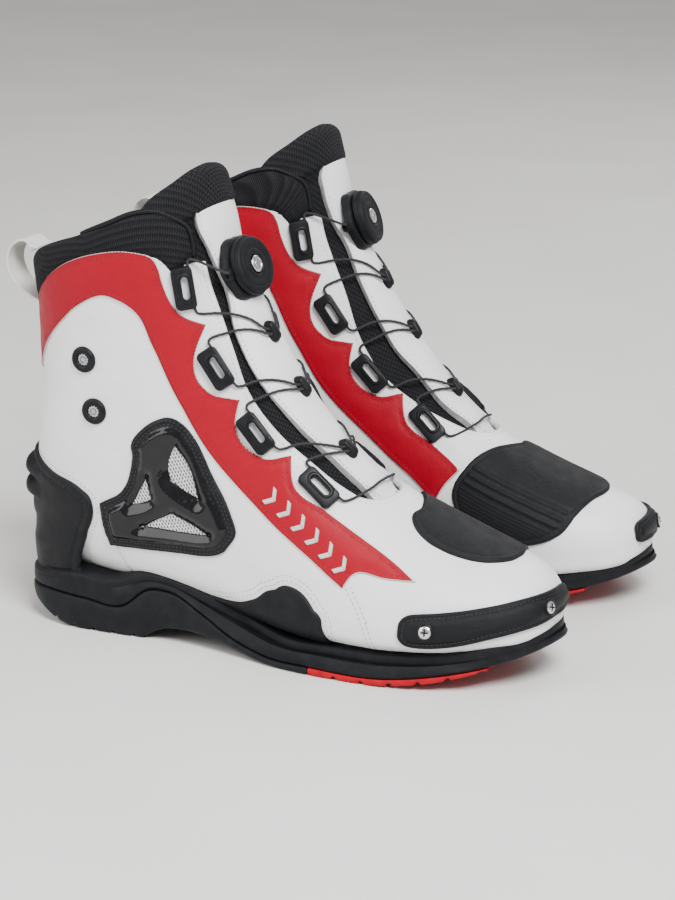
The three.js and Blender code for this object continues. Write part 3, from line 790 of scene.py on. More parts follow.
def knitted(name, color, pitch, depth, thread):
    """Spacer knit: rows of open cells staggered like a honeycomb, with painted shade in the cells."""
    m = Nodes(name, color, 0.85)
    m.shader.inputs["Specular IOR Level"].default_value = 0.2
    split = m.add("ShaderNodeSeparateXYZ", {0: m.weave()})
    k = 2 * PI / (pitch * MM)
    u = m.math("MULTIPLY", split.outputs[0], k)
    v = m.math("MULTIPLY", split.outputs[1], k)
    lean_a = m.math("SINE", m.math("ADD", u, m.math("MULTIPLY", v, 0.58)))
    lean_b = m.math("SINE", m.math("SUBTRACT", u, m.math("MULTIPLY", v, 0.58)))
    row = m.math("SINE", m.math("MULTIPLY", v, 1.16))
    high = m.math("ADD", m.math("ADD", lean_a, lean_b), row)
    cell = m.ramp(high, -1.4, 1.6)
    fibre = m.noise(0.35, 2.0)
    m.bumps((cell, depth), (fibre, 0.12))
    # Painted shade: the colour follows the cell height, dark in the open cells and lighter on the raised
    # threads.
    m.paint(m.mix(m.ramp(cell, 0.25, 0.85), color, thread))
    return m.material


def woven(name, color, pitch, depth):
    """Plain flat webbing: ribs one way, picks the other, with painted shade in the hollows of the weave."""
    m = Nodes(name, color, 0.8)
    split = m.add("ShaderNodeSeparateXYZ", {0: m.weave()})
    k = 2 * PI / (pitch * MM)
    warp = m.math("SINE", m.math("MULTIPLY", split.outputs[0], k))
    weft = m.math("SINE", m.math("MULTIPLY", split.outputs[1], k * 1.3))
    over = m.math("MULTIPLY", warp, weft)
    m.bumps((m.ramp(over, -1, 1), depth), (m.noise(0.4, 2.0), 0.05))
    # Painted shade: the colour darkens where the weave lies low, in its hollows.
    m.paint(m.mix(m.ramp(over, -1, 0.2), tuple(c * 0.62 for c in color), color))
    return m.material


def thread(name, color):
    """Twisted sewing thread."""
    m = Nodes(name, color, 0.6)
    split = m.add("ShaderNodeSeparateXYZ", {0: m.weave()})
    twist = m.math("SINE", m.math("MULTIPLY", m.math("ADD", split.outputs[0], split.outputs[1]), 9000.0))
    m.bumps((twist, 0.05))
    m.paint(m.mix(m.ramp(m.noise(1.5), 0.3, 0.7), color, tuple(c * 0.8 for c in color)))
    return m.material


def screened(name, color, gap_color, pitch):
    """Fine metallic mesh: round holes in staggered rows."""
    m = Nodes(name, color, 0.35, 0.55)
    hole = m.cells(pitch, randomness=0.12, where=m.weave())
    solid = m.ramp(hole, 0.28, 0.42)
    m.paint(m.mix(solid, gap_color, color))
    m.bumps((solid, 0.25))
    return m.material


def metal(name, color, roughness):
    m = Nodes(name, color, roughness, 1.0)
    scratch = m.add("ShaderNodeTexNoise", {"Vector": m.place(), "Scale": 900.0, "Detail": 4.0}).outputs[0]
    m.bumps((scratch, 0.01))
    m.rough(m.ramp(m.noise(2.0), 0.3, 0.7, roughness - 0.08, roughness + 0.12))
    return m.material


WHITE_LEATHER = leather("white leather", (0.80, 0.82, 0.815), 0.42, 0.9, 0.035, 0.62)
RED_LEATHER = leather("red leather", (0.31, 0.0, 0.012), 0.42, 0.9, 0.045, 0.5)
CUT_EDGE = leather("cut leather edge", (0.62, 0.50, 0.48), 0.6, 0.5, 0.03, 0.9)
BLACK_LEATHER = leather("black leather", (0.0055, 0.006, 0.0075), 0.5, 1.1, 0.09, 1.6)
PAD_LEATHER = leather("charcoal pad", (0.007, 0.0075, 0.009), 0.55, 0.7, 0.05, 1.5)
RUBBER = moulded("black rubber", (0.006, 0.0065, 0.008), 0.55, 0.5, 0.02)
TREAD_RUBBER = moulded("red rubber", (0.32, 0.002, 0.008), 0.6, 0.6, 0.02)
GLOSS = moulded("gloss plastic", (0.003, 0.003, 0.004), 0.13, 0.9, 0.004, 0.08, 0.36)
MATTE = moulded("matt plastic", (0.007, 0.0075, 0.009), 0.40, 0.5, 0.015)
KNITTED = knitted("black knit", (0.003, 0.003, 0.004), 2.3, 0.5, (0.016, 0.0165, 0.020))
LINING = knitted("lining", (0.012, 0.012, 0.014), 3.0, 0.3, (0.035, 0.036, 0.040))
WEBBING = woven("webbing", (0.72, 0.71, 0.66), 1.3, 0.16)
WHITE_THREAD = thread("white thread", (0.70, 0.71, 0.69))
GREY_THREAD = thread("grey thread", (0.52, 0.53, 0.53))
RED_THREAD = thread("red thread", (0.24, 0.001, 0.010))
BLACK_THREAD = thread("black thread", (0.012, 0.012, 0.014))
MESH = screened("silver mesh", (0.74, 0.75, 0.76), (0.10, 0.10, 0.11), 1.7)
VENT_MESH = screened("vent mesh", (0.55, 0.56, 0.57), (0.01, 0.01, 0.01), 1.7)
SILVER = metal("silver metal", (0.66, 0.67, 0.68), 0.28)
CORD = woven("lace cord", (0.022, 0.022, 0.025), 0.8, 0.2)
FOAM = knitted("footbed cloth", (0.04, 0.04, 0.043), 1.6, 0.15, (0.09, 0.09, 0.095))


# ---------------------------------------------------------------- outlines on the form
def path(*groups, closed=True, step=1.2):
    """A line on the form through points that different views find, each group as (view, points).
    A view of None means that the points are (v, turn) already."""
    places = []
    for find, points in groups:
        flat = np.array([p[:2] for p in points], float)
        found = find(flat) if find else flat
        places += [(*(place * PLACE_SCALE), len(p) > 2) for place, p in zip(found, points)]
    return curve_through(places, closed, step) / PLACE_SCALE


def heel_place(z):
    """(v, turn) on the line down the back of the heel, at a height."""
    vs = np.linspace(11.0, LAST, 400)
    heights = form_point(vs, np.full(400, PI))[:, 2]
    return float(np.interp(z, heights, vs)), PI


def on_inner_back(places):
    """Inner side places with turn counted on past the heel."""
    return on_inner(places) + np.array([0, 2 * PI])


THROAT_EDGE_OUTER = [
    (-18, 2), (-21, 12), (-23.5, 28), (-26, 50), (-25.5, 75), (-23, 98), (-20.8, 118), (-20.4, 136),
]
THROAT_EDGE_INNER = [
    (20.4, 136), (20.8, 118), (22.5, 98), (25, 75), (25, 50), (23, 28), (20.5, 12), (17, 2),
]
LEATHER_TOP = [
    (14, 179), (24, 189), (40, 199), (55, 204), (69, 206), (80, 204.5), (87, 202),
]
HEEL_TOP = heel_place(157.5)
HEEL_LOW = heel_place(131)

# The leather upper is one skin that wraps the form; its seam runs down the heel and under the foot.
upper_outline = path(
    (None, [(-1.0, -PI, SHARP), (-1.0, PI, SHARP), (HEEL_TOP[0], PI, SHARP)]),
    (on_outer, [(7, 169)] + LEATHER_TOP),
    (on_throat, [(-28, 148), (-20.6, 144.5, SHARP)] + THROAT_EDGE_OUTER[::-1]
     + [(-13, -2.5), (-6, -4.2), (5, -4.2), (12, -2.5)]
     + THROAT_EDGE_INNER[::-1] + [(20.6, 144.5, SHARP), (28, 148)]),
    (on_inner, LEATHER_TOP[::-1] + [(7, 169)]),
    (None, [(HEEL_TOP[0], -PI, SHARP)]),
)


def skin_noise(points, size, seed=0.0):
    """Smooth unevenness from -1 to 1 whose waves are about `size` mm long."""
    p = points / size * 2 * PI
    return (np.sin(p[:, 0] + seed) * np.sin(p[:, 1] * 1.1 + seed * 2)
            + np.sin(p[:, 2] * 0.9 + p[:, 0] * 0.6 + seed)
            + np.sin(p[:, 1] * 0.7 - p[:, 2] * 1.3 + seed * 3)) / 3


def heel_seam(places):
    return (np.abs(places[:, 1]) > PI - 1e-4) | (places[:, 0] < -0.999)


# ---------------------------------------------------------------- outlines of the panels
RED_FRONT = [
    (150, 75), (177, 57), (194, 46.5, SHARP), (200, 54), (215, 52.5), (230, 52, SHARP), (220, 58),
    (190, 74), (179, 80.5), (161, 92.5), (157, 106, SHARP), (144, 104.5), (128, 119.5),
    (128.5, 132, SHARP), (116, 134), (104.5, 154), (108.5, 168.5, SHARP), (96, 174), (88, 190),
    (86, 198), (83, 203),
]
RED_TOP = [(77, 204.8), (69, 205.5), (55, 203.5), (40, 198.5), (24, 188.5), (14, 178.5), (7, 168.5)]
RED_LOW = [(10, 138), (18, 151), (31, 165), (44, 176), (58, 182), (66, 180), (74, 175), (83, 157),
           (98, 129), (116, 104)]
red_outline = path(
    (on_outer, RED_FRONT + RED_TOP),
    (None, [(HEEL_TOP[0], PI, SHARP), (HEEL_LOW[0], PI, SHARP)]),
    (on_outer, RED_LOW),
)
RED_INNER_END = [(150, 75), (174, 59), (184, 51.5, SHARP), (188, 60), (196, 70, SHARP)]
red_inner_outline = path(
    (on_inner, RED_INNER_END + RED_FRONT[7:] + RED_TOP),
    (None, [(HEEL_TOP[0], -PI, SHARP), (HEEL_LOW[0], -PI, SHARP)]),
    (on_inner, RED_LOW),
)
COUNTER_SIDE = [(38, 30.5, SHARP), (42, 52), (47, 64), (46, 72), (40, 77), (22, 83), (9, 88)]
counter_outline = path(
    (None, [heel_place(92)]),
    (on_inner_back, COUNTER_SIDE[::-1]),
    (on_inner_back, [(22, 29)]),
    (None, [heel_place(28)]),
    (on_outer, [(22, 29)]),
    (on_outer, COUNTER_SIDE),
)
GUARD_OUTLINE = [
    (88, 120), (77, 113), (72, 107), (72, 98), (69, 85), (66, 80), (52, 71, SHARP), (57, 48.5, SHARP),
    (90, 50), (119, 52), (127, 57), (132, 66), (129, 74), (117, 94), (107, 111), (100, 118),
]
GUARD_HOLES = [
    [(96, 109, SHARP), (91.5, 100), (92.5, 89), (98, 84.5), (112, 78.5, SHARP), (106, 96)],
    [(80, 91, SHARP), (75, 82), (69, 71.5, SHARP), (77, 73), (84, 76.5, SHARP), (82, 83)],
    [(74, 60.5, SHARP), (84, 67), (94, 72, SHARP), (106, 68), (119, 62, SHARP), (96, 60.5)],
]
RAND_OUTLINE = [
    (111, 28.8, SHARP), (128, 28.6), (143, 33), (153, 39.5), (162, 43.5), (171, 41.5), (179, 33.5),
    (184, 24), (187, 14.5, SHARP), (158, 15), (130, 21), (118, 25.5),
]
PAD_OUTLINE = [
    (216, -1), (213.5, 9), (207.5, 21), (199, 34), (194, 41.5), (198, 44), (250, 43), (255, 41),
    (262, 32), (266, 20), (269, 6), (266.5, -6), (259, -14), (248, -18.5), (237, -20), (227, -19),
    (219, -15), (215, -8),
]
guard_outline = {+1: path((on_outer, GUARD_OUTLINE)), -1: path((on_inner, GUARD_OUTLINE))}
rand_outline = path((on_outer, RAND_OUTLINE))


def front_view(points):
    return points[:, [1, 2]]


on_front = Lookup(front_view, (-0.85, 3.0), (-2.6, 2.6))
pad_outline = path((on_toe, PAD_OUTLINE))

# ---------------------------------------------------------------- the white leather upper
SEAM_INSET = 2.4
quarter_seam = path((on_outer, [(58, 49), (61, 42), (65, 33)]), closed=False)
vamp_seam = path((on_outer, [(196, 46), (203, 36), (208, 24), (210, 15)]), closed=False)
seams = [(quarter_seam, False)]
upper_skin = Skin(upper_outline, spacing=2.0, lines=seams, joined=heel_seam)
soft = 0.16 * skin_noise(upper_skin.points, 26.0) + 0.1 * skin_noise(upper_skin.points, 11.0, 2.0)
upper_height = rounded(upper_skin.edge, 0.0, 1.7) + soft * np.clip(upper_skin.edge / 6, 0, 1)
upper_height -= groove(upper_skin.line_distance(), 0.55, 0.8)
upper_height -= groove(upper_skin.edge - SEAM_INSET, 0.3, 0.6)
upper_shape = upper_skin.shape(upper_height, -LEATHER + rounded(upper_skin.edge, 0.0, 1.5) * -1, 0, 1)
build("upper", upper_shape, [WHITE_LEATHER, LINING], sharp=0, replaces=["upper"],
      weld=True)

# ---------------------------------------------------------------- red panels
for name, outline in (("outer", red_outline), ("inner", red_inner_outline)):
    red_skin = Skin(outline, spacing=1.7, joined=lambda places: np.abs(places[:, 1]) > PI - 1e-4)
    puff = 0.5 * (1 - np.exp(-(np.maximum(red_skin.edge - SEAM_INSET, 0) / 5.0)))
    puff += 0.12 * skin_noise(red_skin.points, 17.0, 1.0) * np.clip(red_skin.edge / 5, 0, 1)
    red_height = rounded(red_skin.edge, OVERLAY, 0.5) - groove(red_skin.edge - SEAM_INSET, 0.35, 0.6) + puff
    red_shape = red_skin.shape(red_height, -0.5)
    count = len(red_skin.faces)
    cut_edge = red_skin.edge[red_skin.faces].max(axis=1) < 0.4
    red_shape.slots[:count + len(red_skin.border)] = list(cut_edge.astype(int)) + [1] * len(red_skin.border)
    build(f"red_panel_{name}", red_shape, [RED_LEATHER, CUT_EDGE], sharp=0,
          replaces=[f"red_panel_{name}"])

# ---------------------------------------------------------------- ankle guards
GUARD_BORDER = 4.7  # width of the flat matt rim round the glossy body
HOLE_SHRINK = 1.3  # how far each opening is drawn in before its corners are softened


def softened(outline):
    """An outline with its corners slightly rounded."""
    outline = spaced_places(outline, 0.7, True)
    for _ in range(3):
        outline = (np.roll(outline, 1, axis=0) + 2 * outline + np.roll(outline, -1, axis=0)) / 4
    return outline


for name, side in (("outer", 1), ("inner", -1)):
    find = on_outer if side > 0 else on_inner
    holes = [softened(shifted(oriented(path((find, hole))), HOLE_SHRINK)) for hole in GUARD_HOLES]
    step = shifted(oriented(guard_outline[side]), GUARD_BORDER)
    guard_skin = Skin(guard_outline[side], holes, spacing=0.9, lines=[(step, True)],
                      rims=(0.3, 0.8, 1.5, 2.3))
    rim = guard_skin.apart[0]
    hole_rim = np.minimum.reduce(guard_skin.apart[1:])
    slope = 1 - np.clip(1 - hole_rim / 6.5, 0, 1) ** 1.6
    body = 0.6 + 3.4 * slope
    crown = eased(np.clip((rim - GUARD_BORDER + 0.6) / 3.0, 0, 1))
    guard_height = rounded(rim, 1.8, 1.0) * (1 - crown) + body * crown
    guard_height -= groove(rim - GUARD_BORDER, 0.35, 1.1)
    guard_height = guard_skin.smoothed(guard_height, 4)
    glossy = (rim > GUARD_BORDER)[guard_skin.faces].mean(axis=1) > 0.5
    guard_shape = guard_skin.shape(guard_height, -0.4)
    count = len(guard_skin.faces)
    guard_shape.slots[:count] = [1 if shiny else 0 for shiny in glossy]
    walls = guard_skin.border
    for i, (a, b) in enumerate(walls):
        guard_shape.slots[count + i] = 1 if rim[a] > GUARD_BORDER else 0
    for hole in holes:
        grown = shifted(oriented(hole), -1.6)
        Skin(grown, spacing=1.6, rims=()).shape(0.25, -0.6, slot=2, into=guard_shape)
    build(f"ankle_guard_{name}", guard_shape, [MATTE, GLOSS, MESH], sharp=60,
          replaces=[f"ankle_guard_{name}"])

# ---------------------------------------------------------------- the sole's plan
SOLE_OUTLINE = [
    (-4, 0), (-2, -15), (7, -28), (24, -36), (50, -38), (82, -37.5), (108, -39.5), (137, -45),
    (165, -51), (195, -53.5), (225, -52.5), (249, -47), (269, -37), (284, -24), (293, -10), (295, 0),
    (292, 11), (283, 23), (270, 33), (250, 41), (228, 46), (205, 48), (184, 46), (160, 41), (138, 37),
    (110, 35), (82, 35), (50, 37), (24, 35.5), (7, 28), (-2, 15),
]


def anticlockwise(plan):
    """A closed plan line turned to run anticlockwise, seen from above."""
    ahead = np.roll(plan, -1, axis=0)
    area = np.sum(plan[:, 0] * ahead[:, 1] - ahead[:, 0] * plan[:, 1])
    return plan[::-1] if area < 0 else plan


sole_plan = anticlockwise(spaced(curve_through(SOLE_OUTLINE, True, 1.0), 1.0, True))
sole_tree = tree_of(np.column_stack([sole_plan, np.zeros(len(sole_plan))]))
COUNTER_ROOM = 2.6


def plan_outward(points):
    """The way, seen from above, from each point to the sole's outline."""
    found = np.array([sole_tree.find((p[0], p[1], 0))[0] for p in points])
    away = found - points * (1, 1, 0)
    return away / np.maximum(np.linalg.norm(away, axis=1), 1e-6)[:, None]


def sole_reach(points):
    """How far each point lies inside the sole's outline, less the room the counter takes."""
    apart = np.array([sole_tree.find((p[0], p[1], 0))[2] for p in points])
    return np.maximum(apart - COUNTER_ROOM, 0) * inside(sole_plan, points[:, :2])


# ---------------------------------------------------------------- heel counter
RIB_HEIGHTS = (70.5, 81.5)
RIB_HALF = 4.2
COUNTER_SEAM = 4.2
counter_skin = Skin(counter_outline, spacing=1.3, rims=(0.35, 0.9, 1.7, 3.4, 4.2, 5.0))
where = counter_skin.points
counter_height = rounded(counter_skin.edge, 2.3, 1.5) - groove(counter_skin.edge - COUNTER_SEAM, 0.7, 0.7)
fade = eased(np.clip((13 - where[:, 0]) / 9, 0, 1))
for z in RIB_HEIGHTS:
    rib = np.clip(1 - ((where[:, 2] - z + where[:, 0] * 0.12) / RIB_HALF) ** 2, 0, 1)
    counter_height += 4.3 * np.sqrt(rib) * fade
lower_rib = np.clip(1 - ((where[:, 2] - 60) / RIB_HALF) ** 2, 0, 1)
counter_height += 1.0 * np.sqrt(lower_rib) * fade
counter_push = sole_reach(where) * np.clip((70 - where[:, 2]) / 26, 0, 1) ** 1.3
counter_skin.points = where + counter_push[:, None] * plan_outward(where)
build("heel_counter", counter_skin.shape(counter_height, -0.5), [BLACK_LEATHER], sharp=0,
      replaces=["heel_counter"])

# ---------------------------------------------------------------- side rand
rand_skin = Skin(rand_outline, spacing=1.5)
rand_height = rounded(rand_skin.edge, 1.7, 1.2) + 0.5 * (1 - np.exp(-rand_skin.edge / 6))
build("side_rand", rand_skin.shape(rand_height, -0.5), [RUBBER], sharp=0,
      replaces=["side_rand"])

# ---------------------------------------------------------------- shift pad
PAD_CORD = 2.6
pad_skin = Skin(pad_outline, spacing=0.75, rims=(0.35, 0.9, 1.7, 2.6, 3.4))
round_by = pad_skin.uv[:, 0]
rib_wave = np.cos(round_by / 1.9 * 2 * PI)
bold = np.clip((-round_by - 27) / 3, 0, 1) * np.clip((46 + round_by) / 3, 0, 1)
bold_wave = np.sqrt(np.clip(np.cos(round_by / 4.6 * 2 * PI), 0, 1))
pad_height = rounded(pad_skin.edge, 1.5, 1.2)
pad_height += 0.5 * np.sqrt(np.clip(1 - ((pad_skin.edge - PAD_CORD / 2 - 0.2) / (PAD_CORD / 2)) ** 2, 0, 1))
field = np.clip((pad_skin.edge - 3.4) / 0.8, 0, 1)
pad_height += field * (0.25 + 0.16 * rib_wave * (1 - bold) + 0.8 * bold * bold_wave)
build("shift_pad", pad_skin.shape(pad_height, -0.5), [PAD_LEATHER], sharp=0,
      replaces=["shift_pad"])

# ---------------------------------------------------------------- small solid parts
def unit(vector):
    vector = np.asarray(vector, float)
    return vector / np.linalg.norm(vector)


class Seat:
    """Axes for a small part: across, along and out from a point."""

    def __init__(self, origin, out, along):
        self.origin = np.asarray(origin, float)
        self.out = unit(out)
        along = np.asarray(along, float)
        self.along = unit(along - self.out * (along @ self.out))
        self.across = np.cross(self.along, self.out)

    def at(self, points):
        points = np.atleast_2d(points)
        axes = np.stack([self.across, self.along, self.out])
        return self.origin + points @ axes


def seat_on_form(place, lift=0.0, along=None):
    point, normal, along_v, _ = form_frame([place[0]], [place[1]])
    return Seat(point[0] + normal[0] * lift, normal[0], along_v[0] if along is None else along)


def loft(shape, rings, slot=0, caps=(True, True)):
    """A skin through rings of equal size, with its ends closed by fans."""
    rings = [np.asarray(ring, float) for ring in rings]
    size = len(rings[0])
    faces = []
    for r in range(len(rings) - 1):
        for k in range(size):
            n = (k + 1) % size
            faces.append((r * size + k, r * size + n, (r + 1) * size + n, (r + 1) * size + k))
    points = np.vstack(rings)
    steps = [np.linalg.norm(b - a, axis=1).mean() for a, b in zip(rings, rings[1:])]
    travelled = np.r_[0, np.cumsum(steps)]
    girth = np.linalg.norm(np.roll(rings[0], -1, axis=0) - rings[0], axis=1).sum()
    u = np.tile(np.arange(size) / size * girth, len(rings))
    v = np.repeat(travelled, size)
    uv = np.stack([u, v], axis=1)
    if caps[0]:
        faces.append(tuple(reversed(range(size))))
    if caps[1]:
        start = (len(rings) - 1) * size
        faces.append(tuple(range(start, start + size)))
    shape.add(points, faces, slot, uv)


def round_rectangle(width, length, corner_radius, count=40):
    """Points round a rectangle with rounded corners, evenly spread."""
    corner_radius = min(corner_radius, width / 2, length / 2)
    line = []
    for quarter, (sx, sy) in enumerate(((1, 1), (-1, 1), (-1, -1), (1, -1))):
        cx, cy = sx * (width / 2 - corner_radius), sy * (length / 2 - corner_radius)
        for k in range(9):
            angle = PI / 2 * (quarter + k / 8)
            line.append((cx + corner_radius * math.cos(angle), cy + corner_radius * math.sin(angle)))
    line = np.array(line)
    keep = np.r_[True, np.linalg.norm(np.diff(line, axis=0), axis=1) > 1e-6]
    line = np.vstack([line[keep], line[:1]])
    lengths = travelled_along(line)
    wanted = np.arange(count) / count * lengths[-1]
    return np.stack([np.interp(wanted, lengths, line[:, k]) for k in range(2)], axis=1)


def level(flat, height):
    """Flat points as 3-D points at one height."""
    return np.column_stack([flat, np.full(len(flat), height)])


def turned_rings(profile, count, wobble=None):
    """Rings of a turned part from (radius, height) points.
    wobble(angles, radius, height) adds to the radius."""
    angles = np.arange(count) / count * 2 * PI
    rings = []
    for radius, height in profile:
        reach = radius + (wobble(angles, radius, height) if wobble else 0)
        rings.append(np.stack([np.cos(angles) * reach, np.sin(angles) * reach, np.full(count, height)],
                              axis=1))
    return rings


def turned(shape, seat, profile, count, slot=0, caps=(False, False), wobble=None):
    """Adds a turned part, its profile given as (radius, height) points, to a shape."""
    loft(shape, [seat.at(ring) for ring in turned_rings(profile, count, wobble)], slot, caps)


def smooth_line(points, step=1.0):
    """A centripetal Catmull-Rom line through 3-D points."""
    points = np.asarray(points, float)
    first, last = 2 * points[0] - points[1], 2 * points[-1] - points[-2]
    p = np.vstack([first, points, last])
    line = []
    for i in range(1, len(p) - 2):
        t = np.r_[0, np.cumsum(np.sqrt(np.linalg.norm(np.diff(p[i - 1:i + 3], axis=0), axis=1)))]
        count = max(int(np.linalg.norm(p[i + 1] - p[i]) / step), 2)
        s = np.linspace(t[1], t[2], count, endpoint=False)[:, None]
        a = [((t[k + 1] - s) * p[i - 1 + k] + (s - t[k]) * p[i + k]) / (t[k + 1] - t[k]) for k in range(3)]
        b = [((t[k + 2] - s) * a[k] + (s - t[k]) * a[k + 1]) / (t[k + 2] - t[k]) for k in range(2)]
        line.append(((t[2] - s) * b[0] + (s - t[1]) * b[1]) / (t[2] - t[1]))
    line.append(points[-1:])
    return spaced(np.concatenate(line), step)


def tube(shape, line, radius, sides=10, slot=0, strands=0):
    """A round tube along a 3-D line; with strands, the surface is laid like a rope."""
    heading = np.gradient(line, axis=0)
    heading /= np.linalg.norm(heading, axis=1)[:, None]
    side = np.cross(heading[0], (0.3, 0.2, 1.0))
    rings = []
    travelled = travelled_along(line)
    for i, (point, ahead) in enumerate(zip(line, heading)):
        side = side - ahead * (side @ ahead)
        side /= np.linalg.norm(side)
        other = np.cross(ahead, side)
        angles = np.arange(sides) / sides * 2 * PI
        reach = np.full(sides, radius)
        if strands:
            reach = radius * (1 + 0.12 * np.cos(strands * angles - travelled[i] * 1.9))
        rings.append(point + np.outer(np.cos(angles) * reach, side)
                     + np.outer(np.sin(angles) * reach, other))
    loft(shape, rings, slot)


# ---------------------------------------------------------------- lace guides
GUIDE_SPOTS = [(97.5, 187), (115.5, 147), (138.5, 116), (172.5, 91)]
GUIDE_WIDTH = 11.0
GUIDE_LENGTH = 22.0
GUIDE_BASE = 1.5
GUIDE_TOP = GUIDE_BASE + 3.2
SLOT_WIDTH = 3.6
SLOT_LENGTH = 12.0
SLOT_ASIDE = 0.9  # the slot lies nearer the throat

guide_seats = {}
for name, find in (("outer", on_outer), ("inner", on_inner)):
    guide_seats[name] = [seat_on_form(place) for place in find(np.array(GUIDE_SPOTS, float))]
    toward_throat = 1 if name == "outer" else -1
    for k, seat in enumerate(guide_seats[name]):
        profile = [
            (GUIDE_WIDTH, GUIDE_LENGTH, 2.6, 0, -0.4), (GUIDE_WIDTH, GUIDE_LENGTH, 2.6, 0, GUIDE_TOP - 1.5),
            (GUIDE_WIDTH - 0.7, GUIDE_LENGTH - 0.7, 2.4, 0, GUIDE_TOP - 0.9),
            (GUIDE_WIDTH - 1.9, GUIDE_LENGTH - 1.9, 2.0, 0.1, GUIDE_TOP - 0.7),
            (SLOT_WIDTH + 3.8, SLOT_LENGTH + 4.4, 3.6, 1, GUIDE_TOP - 0.6),
            (SLOT_WIDTH + 3.2, SLOT_LENGTH + 3.6, 3.4, 1, GUIDE_TOP - 0.1),
            (SLOT_WIDTH + 2.4, SLOT_LENGTH + 2.6, 3.0, 1, GUIDE_TOP + 0.1),
            (SLOT_WIDTH + 1.2, SLOT_LENGTH + 1.2, 2.4, 1, GUIDE_TOP + 0.05),
            (SLOT_WIDTH + 0.3, SLOT_LENGTH + 0.3, 1.9, 1, GUIDE_TOP - 0.5),
            (SLOT_WIDTH, SLOT_LENGTH, 1.8, 1, GUIDE_TOP - 1.4), (SLOT_WIDTH, SLOT_LENGTH, 1.8, 1, 0.3),
        ]
        rings = []
        for width, length, radius, aside, height in profile:
            flat = round_rectangle(width, length, radius, 48)
            flat[:, 0] += aside * SLOT_ASIDE * toward_throat
            rings.append(seat.at(level(flat, height)))
        shape = Shape()
        loft(shape, rings, 0, caps=(True, False))
        patch = round_rectangle(SLOT_WIDTH + 0.4, SLOT_LENGTH + 0.4, 2.0, 48)
        patch[:, 0] += SLOT_ASIDE * toward_throat
        shape.add(seat.at(level(patch, 0.35)), [tuple(range(len(patch)))], 1)
        build(f"lace_guide_{name}_{k + 1}", shape, [MATTE, WHITE_LEATHER], sharp=32,
              replaces=[f"lace_guide_{name}_{k + 1}"])

# ---------------------------------------------------------------- tongue shield and its loops
SHIELD_OUTLINE = [
    (-11, -7, SHARP), (-12, 2), (-12.5, 10), (-14, 25), (-18.5, 50), (-21, 80), (-20, 104),
    (-15.5, 128), (-18, 148), (-21, 166), (-19.5, 171), (-15, 172.5), (-2, 171), (13, 168), (16.5, 164),
    (17, 156), (15.5, 140), (13, 123), (15, 104), (16, 80), (16, 58), (14, 44), (15, 22), (13, 8),
    (12, 2), (10, -7, SHARP),
]
SHIELD_LOW = -4.0
SHIELD_HIGH = -0.6
SHIELD_SEAM = 2.2
SHIELD_DIP = 3.4  # its lower end sinks this far, under the vamp
LOOP_SPOTS = [(-3, 98), (-3, 66), (-2, 27)]
LOOP_RINGS = [
    (6.4, 12.2, -0.4), (6.4, 12.2, 1.6), (6.0, 11.8, 2.2), (5.6, 11.2, 2.6), (5.3, 10.6, 3.3),
    (4.9, 10.0, 3.9), (4.0, 8.8, 4.4), (2.6, 7.0, 4.7), (0.8, 4.6, 4.8),
]
shield_outline = path((on_throat, SHIELD_OUTLINE))
shield_skin = Skin(shield_outline, spacing=1.8)
shield_height = rounded(shield_skin.edge, SHIELD_HIGH, 1.6)
shield_height -= groove(shield_skin.edge - SHIELD_SEAM, 0.3, 0.6)
shield_height += 0.5 * (1 - np.exp(-np.maximum(shield_skin.edge - SHIELD_SEAM, 0) / 4))
shield_height += 0.16 * skin_noise(shield_skin.points, 24.0, 3.0)
loop_places = on_throat(np.array(LOOP_SPOTS, float))
for place in loop_places:
    spot = form_point([place[0]], [place[1]])
    apart = np.linalg.norm(shield_skin.points - spot, axis=1)
    shield_height -= 0.5 * np.exp(-(apart / 9) ** 2)
up_shield = throat_view(shield_skin.points)[:, 1]
dip = SHIELD_DIP * eased(np.clip((9 - up_shield) / 12, 0, 1))
shield_shape = shield_skin.shape(shield_height - dip, SHIELD_LOW - dip * 0.6)
loop_seats = [seat_on_form(place, -1.0) for place in loop_places]
for seat in loop_seats:
    tilt = Seat(seat.origin, seat.out, seat.along - 0.12 * seat.across)
    rings = []
    for width, length, height in LOOP_RINGS:
        flat = round_rectangle(width, length, width / 2, 32)
        rings.append(tilt.at(level(flat, height)))
    loft(shield_shape, rings, 1)
build("tongue_shield", shield_shape, [WHITE_LEATHER, MATTE], body="tongue", sharp=45,
      replaces=["tongue_shield"])

# ---------------------------------------------------------------- the dial
DIAL_SPOT = (-2, 134)
DIAL_AXIS = unit((0.93, -0.12, 0.35))
DIAL_SINK = 1.4
BORE = 2.6  # the hole for the spindle through knob, base and spool
dial_place = on_throat(np.array([DIAL_SPOT], float))[0]
dial_point, dial_normal, _, _ = form_frame([dial_place[0]], [dial_place[1]])
dial_point = dial_point[0] - DIAL_SINK * dial_normal[0]
joints = {joint["name"]: joint for joint in frame["record"]["behaviour"]["joints"]}
dial_centre = (np.array(joints["right_knob_turn"]["pos_m"]) - ORIGIN) / MM
dial_centre = dial_centre + DIAL_AXIS * np.dot(dial_point - dial_centre, DIAL_AXIS)
dial_seat = Seat(dial_centre, DIAL_AXIS, (0, 0, 1))


def knurl(count, depth, low, high):
    def wobble(angles, radius, height):
        if not low <= height <= high or radius < 12:
            return 0
        return -depth * np.clip(np.cos(angles * count) * 1.6, -1, 1) ** 2
    return wobble


def lobes(angles, radius, height):
    if radius < 13:
        return 0
    return 0.9 * np.clip(np.cos(angles * 6), -0.4, 1) - 0.3


